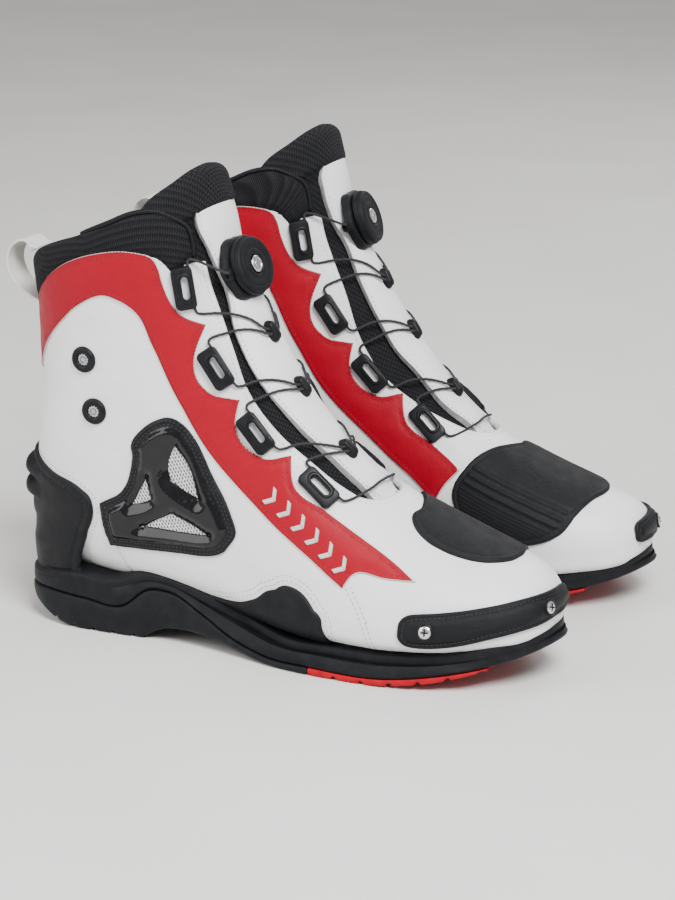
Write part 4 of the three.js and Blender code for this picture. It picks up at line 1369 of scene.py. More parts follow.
knob_profile = [
    (BORE, 5.4), (14.2, 5.4), (15.0, 5.7), (15.5, 6.3), (15.5, 7.9), (15.1, 8.3), (14.6, 8.4),
    (14.5, 8.7), (14.5, 10.0), (14.1, 10.6), (13.4, 10.9), (12.2, 11.0), (11.9, 10.75), (11.4, 10.7),
    (11.1, 10.95), (8.6, 11.15), (8.2, 10.95), (7.9, 11.15), (6.0, 11.25), (5.4, 11.0), (4.9, 10.3),
    (4.7, 9.7), (BORE, 9.7),
]
shape = Shape()
turned(shape, dial_seat, knob_profile, 180, wobble=knurl(30, 0.35, 6.0, 8.1))
turned(shape, dial_seat, [(BORE, 9.7), (BORE, 5.4)], 180)
build("dial_knob", shape, [RUBBER], body="knob", sharp=35, replaces=["dial_knob"],
      weld=True)

base_profile = [
    (11.5, 1.7), (11.5, 4.0), (12.2, 4.7), (15.6, 4.8), (16.6, 4.3), (17.0, 3.2), (17.3, 1.2),
    (17.3, 0.1), (BORE, 0.1),
]
shape = Shape()
turned(shape, dial_seat, base_profile, 120, wobble=lobes)
turned(shape, dial_seat, [(BORE, 0.1), (BORE, 1.7), (11.5, 1.7)], 120)
OUTLET_RINGS = [
    (12.5, 6.4, 4.2), (16.5, 6.4, 4.2), (17.8, 5.4, 3.8), (18.3, 4.6, 3.2), (18.3, 2.6, 1.9),
    (17.0, 2.4, 1.8),
]
OUTLET_HEIGHT = 2.2
for sign in (-1, 1):
    outlet = Seat(dial_seat.at((0, 0, OUTLET_HEIGHT))[0], (0, sign, -0.05), DIAL_AXIS)
    rings = []
    for reach, width, height in OUTLET_RINGS:
        flat = round_rectangle(width, height, 1.4, 28)
        rings.append(outlet.at(level(flat, reach)))
    loft(shape, rings, 0)
build("dial_base", shape, [MATTE], body="tongue", sharp=35, replaces=["dial_base"],
      weld=True)

spool_profile = [(BORE, 2.0), (10.8, 2.0), (10.8, 2.5), (9.0, 2.8), (9.0, 3.5), (10.8, 3.8), (10.8, 4.3),
                 (BORE, 4.3), (BORE, 2.0)]
shape = Shape()
turned(shape, dial_seat, spool_profile, 64)
build("dial_spool", shape, [MATTE], body="spool", sharp=35, replaces=["dial_spool"],
      weld=True)

spindle_profile = [
    (0.0, 1.0), (2.1, 1.0), (2.1, 10.0), (4.1, 10.0), (4.3, 10.5), (4.2, 11.1), (3.8, 11.4),
    (3.2, 11.4), (3.0, 11.2), (1.6, 11.2), (1.4, 11.45), (0.0, 11.5),
]
shape = Shape()
turned(shape, dial_seat, spindle_profile, 48)
build("dial_spindle", shape, [SILVER], body="spindle", sharp=35,
      replaces=["dial_spindle"], weld=True)

# ---------------------------------------------------------------- the lace
def over_form(place, lift):
    point, normal, _, _ = form_frame([place[0]], [place[1]])
    return point[0] + normal[0] * lift


def throat_at(y, along, lift):
    return over_form(on_throat(np.array([[y, along]], float))[0], lift)


LACE_RADIUS = 0.68
LACE_LIFTS = ((0.25, 1.2), (0.5, 1.0), (0.75, 1.0), (0.97, 1.6))


def drape(start, end, lifts):
    """Points over the form between two places, each at (share of the way, lift)."""
    return [over_form(start + (end - start) * share, lift) for share, lift in lifts]


def lace_half(name, sign):
    """One side's lace, from the dial's outlet to the foot of the throat."""
    find = on_outer if name == "outer" else on_inner
    start = dial_seat.at((0, 0, OUTLET_HEIGHT))[0] + np.array([0, -sign * 16.0, 0.4])
    points = [start, start + np.array([0.4, -sign * 4.0, 0.6])]
    for i, seat in enumerate(guide_seats[name]):
        half = GUIDE_LENGTH / 2
        aside = 3.9 * sign
        inside_guide = [seat.at((aside, t, GUIDE_BASE + 1.0))[0] for t in (half - 2, -half + 2)]
        beyond = [seat.at((aside + 0.8 * sign, t, 1.5))[0] for t in (half + 3, -half - 2.5)]
        points += [beyond[0], inside_guide[0], inside_guide[1], beyond[1]]
        if i < len(loop_seats):
            y, along = LOOP_SPOTS[i]
            enter = on_throat(np.array([[y - sign * 4.0, along + 1.2], [y - sign * 4.0, along - 1.2]],
                                       float))
            points += drape(find(beyond[1][None, [0, 2]])[0], enter[0], LACE_LIFTS)
            points += [loop_seats[i].at((sign * -0.5, 1.0, 2.4))[0],
                       loop_seats[i].at((sign * -0.5, -1.0, 2.4))[0]]
            following = guide_seats[name][i + 1]
            ahead = following.at((aside + 0.8 * sign, half + 3, 1.5))[0]
            points += drape(find(ahead[None, [0, 2]])[0], enter[1], LACE_LIFTS)[::-1]
    points += [throat_at(-sign * 12, 3.5, 1.6), throat_at(-sign * 4, 4.2, 1.4), throat_at(0, 4.3, 1.4)]
    return smooth_line(points)


for name, sign in (("outer", 1), ("inner", -1)):
    shape = Shape()
    line = lace_half(name, sign)
    tube(shape, line, LACE_RADIUS, 10, strands=3)
    made = build(f"lace_{name}", shape, [CORD], body=None, sharp=0, replaces=["lace"])
    for side, piece in made.items():
        mirror = 1 if side == "right" else -1
        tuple(to_world([[150, -sign * 26, 150]], side)[0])
        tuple(to_world([[150, -sign * 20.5, 150]], side)[0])
        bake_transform(piece)

# ---------------------------------------------------------------- the sole
GROUND = [
    (-8, 14), (9, 8), (22, 2.5), (36, 0), (74, 0), (80, 3.5), (88, 7), (98, 8), (119, 6.5), (150, 0.8),
    (176, 0.3), (215, 0.3), (244, 4.5), (268, 11), (283, 16.5), (299, 22.5),
]
WAVE = [
    (-8, 17), (10, 18), (25, 18), (40, 17), (62, 15.5), (80, 27), (92, 27), (110, 19), (130, 9.5),
    (150, 4.6), (176, 4.0), (215, 3.8), (244, 7.6), (268, 12.4), (283, 16.5), (299, 22.5),
]
MIDSOLE_TOP = [
    (-8, 27.5), (5, 28.5), (20, 30.5), (38, 32), (57, 30.5), (74, 35), (88, 34), (113, 28), (130, 22),
    (158, 14.4), (184, 14.5), (215, 14.5), (251, 18), (270, 22.5), (283, 25.5), (291, 27), (299, 28),
]
TREAD_START = 177.0
SOLE_GAP = 0.35


def height_line(points):
    line = curve_through(points, closed=False, step=1.0)
    return lambda x: np.interp(x, line[:, 0], line[:, 1])


ground, wave, midsole_top = (height_line(line) for line in (GROUND, WAVE, MIDSOLE_TOP))


def cut_plan(keep_low, x):
    """The part of the sole's plan behind (or ahead of) a straight cut, as a closed line."""
    side = sole_plan[:, 0] < x if keep_low else sole_plan[:, 0] > x
    start = int(np.argmax(side & ~np.roll(side, 1)))
    rolled, flags = np.roll(sole_plan, -start, axis=0), np.roll(side, -start)
    run = rolled[flags]
    across = spaced(np.array([run[-1], run[0]]), 1.5)[1:-1]
    return np.vstack([run, across])


def plan_offset(plan, distance):
    ahead = np.roll(plan, -1, axis=0) - np.roll(plan, 1, axis=0)
    outward = np.stack([ahead[:, 1], -ahead[:, 0]], axis=1)
    outward /= np.maximum(np.linalg.norm(outward, axis=1), 1e-9)[:, None]
    return plan + outward * distance


def plan_cap(shape, plan, height, spacing, up, slot=0):
    """A surface over a closed plan line with z from height(x, y)."""
    low, high = plan.min(axis=0), plan.max(axis=0)
    xs, ys = np.arange(low[0], high[0], spacing), np.arange(low[1], high[1], spacing)
    grid = np.stack(np.meshgrid(xs, ys, indexing="ij"), axis=-1).reshape(-1, 2)
    grid = grid[inside(plan, grid)]
    flat = np.column_stack([plan, np.zeros(len(plan))])
    grid = grid[distance_to(np.column_stack([grid, np.zeros(len(grid))]), flat) > 0.6 * spacing]
    corners = np.vstack([plan, grid])
    edges = [(i, (i + 1) % len(plan)) for i in range(len(plan))]
    result = delaunay_2d_cdt([Vector(p) for p in corners], edges, [], 0, 1e-5)
    places = np.array([tuple(p) for p in result[0]])
    faces = np.array([face for face in result[2] if len(face) == 3])
    faces = faces[inside(plan, places[faces].mean(axis=1))]
    points = np.column_stack([places, height(places[:, 0], places[:, 1])])
    normal = np.cross(points[faces[:, 1]] - points[faces[:, 0]], points[faces[:, 2]] - points[faces[:, 0]])
    flip = (normal[:, 2] > 0) != up
    faces[flip] = faces[flip][:, ::-1]
    shape.add(points, [tuple(f) for f in faces], slot, places)


form_rows, form_sides = 150, 160
tree_v, tree_turn = np.meshgrid(np.linspace(-1, LAST, form_rows),
                                np.arange(form_sides) / form_sides * 2 * PI, indexing="ij")
tree_quads = [(r * form_sides + c, r * form_sides + (c + 1) % form_sides,
               (r + 1) * form_sides + (c + 1) % form_sides, (r + 1) * form_sides + c)
              for r in range(form_rows - 1) for c in range(form_sides)]
form_tree = BVHTree.FromPolygons(form_point(tree_v.ravel(), tree_turn.ravel()).tolist(), tree_quads)


# ---------------------------------------------------------------- toe slider
SLIDER_AXIS = (232.0, 0.0)
SLIDER_ENDS = (-98.0, 14.0)
SLIDER_TOP = [(-98, 37.2), (-88, 38.3), (-73, 39.6), (-58, 41.2), (-43, 43.2), (-25, 45.6), (-10, 46.4),
              (14, 45.4)]
SLIDER_LOW = [(-98, 22.8), (-88, 22.2), (-73, 23.0), (-58, 25.2), (-43, 28.6), (-25, 32.0), (-10, 33.8),
              (14, 34.6)]
SLIDER_ROUND = 8.0
SLIDER_SEAM = 2.7


def toe_surface(turn, z):
    """Where a level line from outside, aimed at the toe's axis, meets the form."""
    angle = math.radians(turn)
    out = Vector((math.cos(angle), math.sin(angle), 0))
    axis = Vector((*SLIDER_AXIS, z))
    hit = form_tree.ray_cast(axis + out * 90, -out)
    return np.array(hit[0] if hit[0] else axis + out * 50)


def toe_normal(turn, z):
    ahead = toe_surface(turn + 2, z) - toe_surface(turn - 2, z)
    rise = toe_surface(turn, z + 1.5) - toe_surface(turn, z - 1.5)
    normal = np.cross(ahead, rise)
    return normal / np.linalg.norm(normal)


def slider_grid(columns, rows):
    """Places (turn, z) over the slider's rounded strip, column by column."""
    turns = np.linspace(*SLIDER_ENDS, 200)
    top = smooth_between(SLIDER_TOP, turns)
    low = smooth_between(SLIDER_LOW, turns)
    middle = np.array([toe_surface(turn, z) for turn, z in zip(turns, (top + low) / 2)])
    along = travelled_along(middle)
    grid = []
    for place in columns(along[-1]):
        turn = np.interp(place, along, turns)
        high, deep = np.interp(turn, turns, top), np.interp(turn, turns, low)
        near = max(0.0, 1 - min(place, along[-1] - place) / SLIDER_ROUND)
        half = (high - deep) / 2 * (1 - near ** 2.8) ** (1 / 2.8)
        grid.append([(turn, (high + deep) / 2 + half * row) for row in rows])
    return grid


def smooth_between(points, places):
    """A curve through (place, value) points."""
    knots = np.array(points, float)
    slopes = np.gradient(knots[:, 1], knots[:, 0])
    k = np.clip(np.searchsorted(knots[:, 0], places) - 1, 0, len(knots) - 2)
    wide = knots[k + 1, 0] - knots[k, 0]
    t = (places - knots[k, 0]) / wide
    return ((2 * t ** 3 - 3 * t ** 2 + 1) * knots[k, 1] + (t ** 3 - 2 * t ** 2 + t) * wide * slopes[k]
            + (3 * t ** 2 - 2 * t ** 3) * knots[k + 1, 1] + (t ** 3 - t ** 2) * wide * slopes[k + 1])


def slider_columns(length):
    close = (0.1, 0.35, 0.8, 1.4, 2.2, 3.1, 4.2, 5.5, 7.0, 8.5)
    middle = np.linspace(10.2, length - 10.2, 58)
    return list(close) + list(middle) + [length - place for place in reversed(close)]


SLIDER_ROWS = (-1, -0.97, -0.91, -0.83, -0.73, -0.64, -0.5, -0.25, 0, 0.25, 0.5, 0.64, 0.73, 0.83, 0.91,
               0.97, 1)
slider_places = np.array(slider_grid(slider_columns, SLIDER_ROWS))
across, down = slider_places.shape[:2]
flat_places = slider_places.reshape(-1, 2)
slider_points = np.array([toe_surface(turn, z) for turn, z in flat_places])
slider_normals = np.array([toe_normal(turn, z) for turn, z in flat_places])
grid_index = np.arange(across * down).reshape(across, down)
loop = [*grid_index[0, ::-1], *grid_index[1:-1, 0], *grid_index[-1], *grid_index[-2:0:-1, -1]]
slider_rim = slider_points[loop]
dense_rim = np.vstack([slider_rim + (np.roll(slider_rim, -1, axis=0) - slider_rim) * k / 6
                       for k in range(6)])
slider_edge = distance_to(slider_points, dense_rim)
slider_height = rounded(slider_edge, 2.4, 1.2) + 0.9 * np.clip((slider_edge - 2.8) / 0.8, 0, 1)
slider_height -= groove(slider_edge - SLIDER_SEAM, 0.4, 0.8)
slider_top = slider_points + slider_normals * slider_height[:, None]
slider_under = slider_points - slider_normals * 0.6
size = across * down
quads = [(grid_index[i, j], grid_index[i + 1, j], grid_index[i + 1, j + 1], grid_index[i, j + 1])
         for i in range(across - 1) for j in range(down - 1)]
walls = [(a, a + size, b + size, b) for a, b in zip(loop, np.roll(loop, -1))]
unders = [tuple(int(k) + size for k in face[::-1]) for face in quads]
slider_uv = np.column_stack([np.repeat(np.linspace(0, 110, across), down),
                             np.tile(SLIDER_ROWS, across) * 8])
slider_shape = Shape()
slider_shape.add(np.vstack([slider_top, slider_under]), quads + walls + unders, 0,
                 np.vstack([slider_uv, slider_uv]), np.r_[slider_edge, slider_edge])
build("toe_slider", slider_shape, [BLACK_LEATHER], sharp=0, replaces=["toe_slider"])


WALL_LEAN = 0.8  # how much of the lip's depth the midsole's wall leans in by, ahead of the heel


def past_heel(plan):
    """0 behind the heel's front, rising to 1 under the waist of the sole."""
    return np.clip((plan[:, 0] - 50) / 35, 0, 1)


def lip_rings(plan, top):
    """Rings that carry the midsole's top edge inwards and up until it meets the form."""
    ahead = np.roll(plan, -1, axis=0) - np.roll(plan, 1, axis=0)
    inward = np.stack([-ahead[:, 1], ahead[:, 0]], axis=1)
    inward /= np.linalg.norm(inward, axis=1)[:, None]
    high = top(plan[:, 0], plan[:, 1])
    depth = []
    for (x, y), (dx, dy), z in zip(plan, inward, high + 1.6):
        hit = form_tree.ray_cast((x - 12 * dx, y - 12 * dy, z), (dx, dy, 0))
        depth.append(hit[3] - 12 if hit[0] else 4.0)
    depth = np.clip(np.array(depth), 0.5, 10.0)
    for _ in range(3):
        depth = (np.roll(depth, 1) + depth + np.roll(depth, -1)) / 3
    rings = []
    for share, extra, rise in ((1.0, 2.5, 0.5), (1.0, 0.6, 0.4), (0.7, 0, -0.1), (0.3, 0, -0.7),
                               (0.1, 0, -1.3)):
        start = WALL_LEAN * depth * past_heel(plan)
        reach = start + (depth - start) * share + extra
        rings.append(np.column_stack([plan + inward * reach[:, None], high + rise]))
    return rings, depth


def sole_piece(plan, top, bottom, rows, spacing=3.0, lip=False):
    """A layer of the sole. Rows go down its side as (outset, share from top to bottom, extra height)."""
    shape = Shape()
    rings, depth = lip_rings(plan, top) if lip else ([], np.zeros(len(plan)))
    for outset, share, extra in rows:
        lean = WALL_LEAN * depth * (1 - share) * past_heel(plan) if lip else 0 * depth
        line = plan_offset(plan, outset) + plan_offset(plan, -1.0) * lean[:, None] - plan * lean[:, None]
        high, low = top(plan[:, 0], plan[:, 1]), bottom(plan[:, 0], plan[:, 1])
        z = high + (low - high) * share + extra * np.clip((high - low) / 3.0, 0, 1)
        rings.append(np.column_stack([line, z]))
    loft(shape, rings[::-1], caps=(False, False))
    first, last = rings[0], rings[-1]
    near_top, near_low = tree_of(first), tree_of(last)
    rows = [(0, 0, 0.5)] + list(rows) if lip else rows
    count = len(first)

    def cap_height(ring, tree, surface, shift):
        def height(x, y):
            z = surface(x, y) + shift
            for i, (a, b) in enumerate(zip(x[:count], y[:count])):
                _, nearest, far = tree.find((a, b, ring[i, 2]))
                if far < 0.01:
                    z[i] = ring[nearest, 2]
            return z
        return height

    plan_cap(shape, first[:, :2], cap_height(first, near_top, top, rows[0][2]), spacing, True)
    plan_cap(shape, last[:, :2], cap_height(last, near_low, bottom, rows[-1][2]), spacing, False)
    return shape


def ridged(x, y, pitch, depth, wander=2.5):
    """Grooves across the sole, a little wavy, as a height above the ground line."""
    phase = (x + wander * np.sin(y / 9.0)) / pitch
    away = np.abs(phase - np.round(phase)) * pitch
    return depth * np.clip(1.6 - away, 0, 0.8) / 0.8


def heel_ground(x, y):
    worn = ridged(x, y, 12.0, 1.3) * ((x > 16) & (x < 76))
    return np.maximum(ground(x), 0.1) + worn


def tread_ground(x, y):
    return np.maximum(ground(x), 0.1) + ridged(x - 193, y, 15.0, 1.5) * (x > 182)


def surface_of(line, shift=0.0):
    return lambda x, y: line(x) + shift


MIDSOLE_ROWS = [
    (0.05, 0, -2.2), (0.3, 0, -3.0), (0.35, 0, -4.2), (0.15, 0, -5.4), (0.35, 0.45, 0), (0.45, 0.7, 0),
    (0.35, 1, 1.7), (0.0, 1, 0.7), (-0.7, 1, 0.1), (-3.0, 1, 0.0),
]
midsole = sole_piece(sole_plan, surface_of(midsole_top), surface_of(wave, SOLE_GAP), MIDSOLE_ROWS, 4.0,
                     lip=True)
build("midsole", midsole, [RUBBER], sharp=40, replaces=["midsole"], weld=True)
OUTSOLE_ROWS = [
    (-3.0, 0, 0), (-0.6, 0, 0.0), (0.3, 0, -0.4), (0.75, 0, -1.2), (0.8, 0.5, 0), (0.6, 1, 2.0),
    (0.3, 1, 0.9), (-0.4, 1, 0.2), (-1.6, 1, 0.0),
]
outsole = sole_piece(cut_plan(True, TREAD_START - 0.3), surface_of(wave), heel_ground, OUTSOLE_ROWS, 2.5)
build("outsole", outsole, [RUBBER], sharp=40, replaces=["outsole"], weld=True)
TREAD_ROWS = [(-3.0, 0, 0), (-0.3, 0, 0.0), (0.0, 0, -0.5), (0.1, 0.6, 0), (-0.2, 1, 0.4), (-1.0, 1, 0.0)]
tread_plan = cut_plan(False, TREAD_START + 0.3)
TREAD_END = 268.0
tread_plan = tread_plan + np.minimum(TREAD_END - tread_plan[:, :1], 0) * (0.93, 0)
tread = sole_piece(tread_plan, surface_of(wave), tread_ground, TREAD_ROWS, 2.0)
build("tread_insert", tread, [TREAD_RUBBER], sharp=35, replaces=["tread_insert"],
      weld=True)

# ---------------------------------------------------------------- footbed
FOOTBED_TOP = [(8, 46), (34, 34), (74, 33), (117, 29), (157, 23.5), (194, 21.5), (225, 22.5), (252, 25.5),
               (262, 28)]
FOOTBED_ROOM = LEATHER + 1.2
FOOTBED_THICK = 5.0
footbed_line = height_line(FOOTBED_TOP)
foot_x = np.linspace(16, 256, 60)
foot_z = footbed_line(foot_x)
sides = [form_point(*find(np.stack([foot_x, foot_z], axis=1)).T)[:, 1] for find in (on_outer, on_inner)]
outer_line = np.column_stack([foot_x, sides[0] + FOOTBED_ROOM])
inner_line = np.column_stack([foot_x, sides[1] - FOOTBED_ROOM])[::-1]
foot_points = [tuple(p) for p in np.vstack([outer_line[::3], [(260, -8)], [(260, 6)], inner_line[::3]])]
foot_plan = anticlockwise(spaced(curve_through(foot_points, True, 1.5), 1.5, True))


def footbed_top(x, y):
    return footbed_line(x) + 1.2 * (y / 34) ** 2


def footbed_low(x, y):
    return footbed_top(x, y) - FOOTBED_THICK


FOOTBED_ROWS = [(-2.5, 0, 0), (-1.2, 0, -0.1), (-0.4, 0, -0.5), (0, 0, -1.2), (0, 1, 0), (-1.0, 1, 0)]
footbed = sole_piece(foot_plan, footbed_top, footbed_low, FOOTBED_ROWS, 3.0)
build("footbed", footbed, [FOAM], sharp=40, replaces=["footbed"], weld=True)

# ---------------------------------------------------------------- vents
VENT_SPOTS = [(45, 147), (50, 120)]
for find, name in ((on_outer, "outer"), (on_inner, "inner")):
    shape = Shape()
    for place in find(np.array(VENT_SPOTS, float)):
        seat = seat_on_form(place)
        profile = [(6.9, -0.4), (6.9, 0.7), (6.5, 1.5), (5.6, 1.95), (4.6, 1.9), (3.7, 1.6), (3.3, 1.2),
                   (3.15, 0.2)]
        turned(shape, seat, profile, 48, caps=(True, False))
        turned(shape, seat, [(3.3, 0.7), (2.5, 0.95), (1.3, 1.1), (0.2, 1.15)], 32, 1, (False, True))
    build(f"vents_{name}", shape, [MATTE, VENT_MESH], sharp=50)

# ---------------------------------------------------------------- pull loop
PULL_LINE = [
    (1.0, 195.5), (-3.0, 195.8), (-7.5, 198.6), (-14, 196.8), (-18, 190.5), (-16.4, 180.5),
    (-10.6, 173), (-2.5, 168.6), (1.0, 167.2),
]
PULL_WIDTH = 18.0
PULL_THICK = 1.3
line = spaced(curve_through(PULL_LINE, False, 0.8), 0.8)
ahead = np.gradient(line, axis=0)
ahead /= np.linalg.norm(ahead, axis=1)[:, None]
shape = Shape()
rings = []
for i, (point, heading) in enumerate(zip(line, ahead)):
    sway = math.sin(i / len(line) * PI)
    ring = round_rectangle(PULL_WIDTH - 1.0 * sway, PULL_THICK, 0.6, 56)
    sideways = np.array([-heading[1], heading[0]])
    bow = 0.5 * sway * (1 - (ring[:, 0] / 9) ** 2)
    flat = point + np.outer(ring[:, 1] + bow, sideways)
    rings.append(np.column_stack([flat[:, 0], ring[:, 0] + 0.8 * sway * math.sin(i / 9), flat[:, 1]]))
loft(shape, rings)
for z in (193.5, 170.5):
    for y in np.arange(-7, 7.1, 2.3):
        seat = Seat(np.interp(z, (168, 196), (-2.0, -3.6)) * np.array([1, 0, 0]) + np.array([0, y, z]),
                    (-1, 0, 0.2), (0, 1, 0))
        place_capsules(shape, seat.origin[None], seat.along[None], seat.across[None], seat.out[None], 1.8,
                       0.3, 1)
build("pull_loop", shape, [WEBBING, GREY_THREAD], sharp=50, replaces=["pull_loop"])

# ---------------------------------------------------------------- screws in the toe slider
SCREW_SPOTS = [on_outer(np.array([(239.5, 30.5)], float))[0], on_front(np.array([(-13.0, 40.0)], float))[0]]
shape = Shape()
for place in SCREW_SPOTS:
    seat = seat_on_form(place)
    profile = [(4.4, 2.6), (4.3, 3.5), (3.7, 3.9), (3.3, 3.7), (3.2, 3.3)]
    turned(shape, seat, profile, 36, caps=(True, False))
    profile = [(3.2, 3.2), (3.1, 3.8), (2.5, 4.2), (1.2, 4.45), (0.3, 4.5)]
    turned(shape, seat, profile, 36, 1, (False, True))
    for turn_by in (0.0, PI / 2):
        flat = round_rectangle(4.0, 0.8, 0.3, 20) @ np.array([[math.cos(turn_by), -math.sin(turn_by)],
                                                               [math.sin(turn_by), math.cos(turn_by)]])
        rings = [seat.at(level(flat, height)) for height in (4.0, 4.56)]
        loft(shape, rings, 2)
build("slider_screws", shape, [MATTE, SILVER, RUBBER], sharp=40)

# ---------------------------------------------------------------- filling the padded pieces
CLOTH_FRAMES = 20


def inflate(pieces, grain=5.0, pressure=4.0, cap=1.3):
    """Lets air pressure plump a padded piece: a coarse copy is run as cloth and the fine mesh follows it."""
    scene = bpy.context.scene
    coarse = pieces["right"].copy()
    coarse.data = coarse.data.copy()
    coarse.parent = None
    scene.collection.objects.link(coarse)
    remesh = coarse.modifiers.new("remesh", "REMESH")
    remesh.mode = "VOXEL"
    remesh.voxel_size = grain * MM
    still = bpy.data.meshes.new_from_object(coarse.evaluated_get(bpy.context.evaluated_depsgraph_get()))
    coarse.modifiers.clear()
    coarse.data = still
    cloth = coarse.modifiers.new("cloth", "CLOTH")
    cloth.settings.quality = 5
    cloth.settings.mass = 0.3
    cloth.settings.tension_stiffness = 12
    cloth.settings.compression_stiffness = 12
    cloth.settings.bending_stiffness = 0.4
    cloth.settings.use_pressure = True
    cloth.settings.uniform_pressure_force = pressure
    cloth.settings.effector_weights.gravity = 0
    before = np.array([v.co for v in still.vertices])
    for number in range(1, CLOTH_FRAMES + 1):
        scene.frame_set(number)
    after_mesh = coarse.evaluated_get(bpy.context.evaluated_depsgraph_get()).to_mesh()
    moved = np.array([v.co for v in after_mesh.vertices]) - before
    scene.frame_set(1)
    moved -= moved.mean(axis=0)
    lengths = np.linalg.norm(moved, axis=1)
    moved *= (np.minimum(lengths, cap * MM) / np.maximum(lengths, 1e-9))[:, None]
    bpy.data.objects.remove(coarse)
    tree = tree_of(before)
    for side, piece in pieces.items():
        flip = np.array((1, 1 if side == "right" else -1, 1))
        mesh = piece.data
        points = np.array([v.co for v in mesh.vertices])
        shift = np.zeros_like(points)
        for i, point in enumerate(points * flip):
            near = tree.find_n(point, 5)
            weights = np.array([1 / (far + 0.001) ** 2 for _, _, far in near])
            shift[i] = weights @ moved[[index for _, index, _ in near]] / weights.sum()
        mesh.vertices.foreach_set("co", (points + shift * flip).astype(np.float32).ravel())
        mesh.update()


# ---------------------------------------------------------------- knit collar
COLLAR_TOP = [(4, 194), (10, 199), (27, 206), (45, 212), (62, 219.5), (75, 225), (84, 226)]
COLLAR_LOW = [(7, 164), (14, 174), (24, 184), (40, 194), (55, 199), (69, 201), (84, 199)]
far_throat = lambda places: on_throat(places) + np.array([0, 2 * PI])
COLLAR_BACK_TOP = heel_place(190.5)
COLLAR_BACK_LOW = heel_place(153)
collar_outline = path(
    (on_outer, COLLAR_LOW[::-1]),
    (None, [COLLAR_BACK_LOW]),
    (on_inner_back, COLLAR_LOW),
    (far_throat, [(29, 143), (24.5, 147), (24.3, 156), (25.5, 164), (29.5, 170.5)]),
    (on_inner_back, COLLAR_TOP[::-1]),
    (None, [COLLAR_BACK_TOP]),
    (on_outer, COLLAR_TOP),
    (on_throat, [(-29.5, 170.5), (-25.5, 164), (-24.3, 156), (-24.5, 147), (-29, 143)]),
)
collar_skin = Skin(collar_outline, spacing=2.2, rims=(0.6, 1.5, 2.8, 4.4))
low_line = path((on_throat, [(-23, 147), (-29, 143)]), (on_outer, COLLAR_LOW[::-1]),
                (None, [COLLAR_BACK_LOW]),
                (on_inner_back, COLLAR_LOW), (far_throat, [(29, 143), (23, 147)]), closed=False)
above_low = distance_to(collar_skin.points, dense(low_line, False))
front_end = np.clip((collar_skin.points[:, 0] - 74) / 10, 0, 1)
COLLAR_BULGE = 1.6
COLLAR_DEPTH = 9.0
round_top = np.sqrt(np.clip(1 - (1 - np.clip(collar_skin.edge / 5.5, 0, 1)) ** 2, 0, 1))
tucked = np.clip((above_low - 3.0) / 5.0, 0, 1)
middle = (COLLAR_BULGE - COLLAR_DEPTH) / 2
collar_high = middle + (COLLAR_BULGE - middle) * round_top * (0.78 + 0.22 * tucked)
collar_high = np.where(above_low < 6, np.minimum(collar_high, -0.4 + 2.0 * tucked), collar_high)
collar_high -= 0.9 * front_end * groove(collar_skin.edge - 3.6, 1.0, 0.9)
collar_base = middle - (middle + COLLAR_DEPTH) * round_top
collar_shape = collar_skin.shape(collar_high, collar_base)
made_collar = build("collar", collar_shape, [KNITTED], sharp=0, replaces=["collar"],
                    weld=True)
inflate(made_collar)
BINDING_RADIUS = 1.35
BINDING_STEP = 1.2
binding = Shape()
for find_side, find_throat, turn in ((on_outer, on_throat, -1), (on_inner_back, far_throat, 1)):
    front_line = path((find_side, COLLAR_TOP[3:]), (find_throat, [(29.5 * turn, 170.5), (25.5 * turn, 164),
                      (24.3 * turn, 156), (24.5 * turn, 149)]), closed=False)
    front_line = spaced_places(front_line, BINDING_STEP)
    points, normals, _, _ = form_frame(front_line[:, 0], front_line[:, 1])
    travelled = np.arange(len(points)) * BINDING_STEP
    sunk = 0.5 + 3.5 * np.clip(1 - travelled / 16, 0, 1)
    tube(binding, points - normals * sunk[:, None], BINDING_RADIUS, 12)
build("collar_binding", binding, [BLACK_LEATHER], sharp=0)

# ---------------------------------------------------------------- knit tongue
TONGUE_OUTLINE = [
    (-24, -10, SHARP), (-34, 20), (-37, 60), (-37, 100), (-37.5, 150), (-39.3, 168), (-39.3, 179),
    (-37, 183.5), (-28, 185.8), (-12, 187.6), (0, 188), (12, 187.6), (28, 185.8), (37, 183.5),
    (39.3, 179), (39.3, 168), (37.5, 150), (37, 100), (36, 60), (33, 20), (23, -10, SHARP), (0, -12),
]
tongue_outline = path((on_throat, TONGUE_OUTLINE))
tongue_skin = Skin(tongue_outline, spacing=2.2, rims=(0.6, 1.5, 2.8, 4.4))
height_up = throat_view(tongue_skin.points)[:, 1]
aside = np.abs(tongue_skin.points[:, 1])
thick = eased(np.clip((height_up - 160) / 10, 0, 1))
round_edge = np.sqrt(np.clip(1 - (1 - np.clip(tongue_skin.edge / (3.5 + 3.0 * thick), 0, 1)) ** 2, 0, 1))
tongue_top = -4.4 + 4.6 * thick + 0.9 * np.exp(-((aside - 24) / 5) ** 2) * (1 - thick)
tongue_low = -9.4 - 4.0 * thick
tongue_middle = (tongue_top + tongue_low) / 2
tongue_high = tongue_middle + (tongue_top - tongue_middle) * round_edge
tongue_high -= 1.1 * np.exp(-((height_up - 166) / 1.6) ** 2) * round_edge
tongue_base = tongue_middle + (tongue_low - tongue_middle) * round_edge
tongue_shape = tongue_skin.shape(tongue_high, tongue_base)
made_tongue = build("tongue", tongue_shape, [KNITTED], body=None, sharp=0,
                    replaces=["tongue"], weld=True)
inflate(made_tongue, cap=0.9)
for side, piece in made_tongue.items():
    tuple(to_world([THROAT_BASE - 6 * THROAT_UP], side)[0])
    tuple(to_world([THROAT_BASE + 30 * THROAT_UP], side)[0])
    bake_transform(piece)

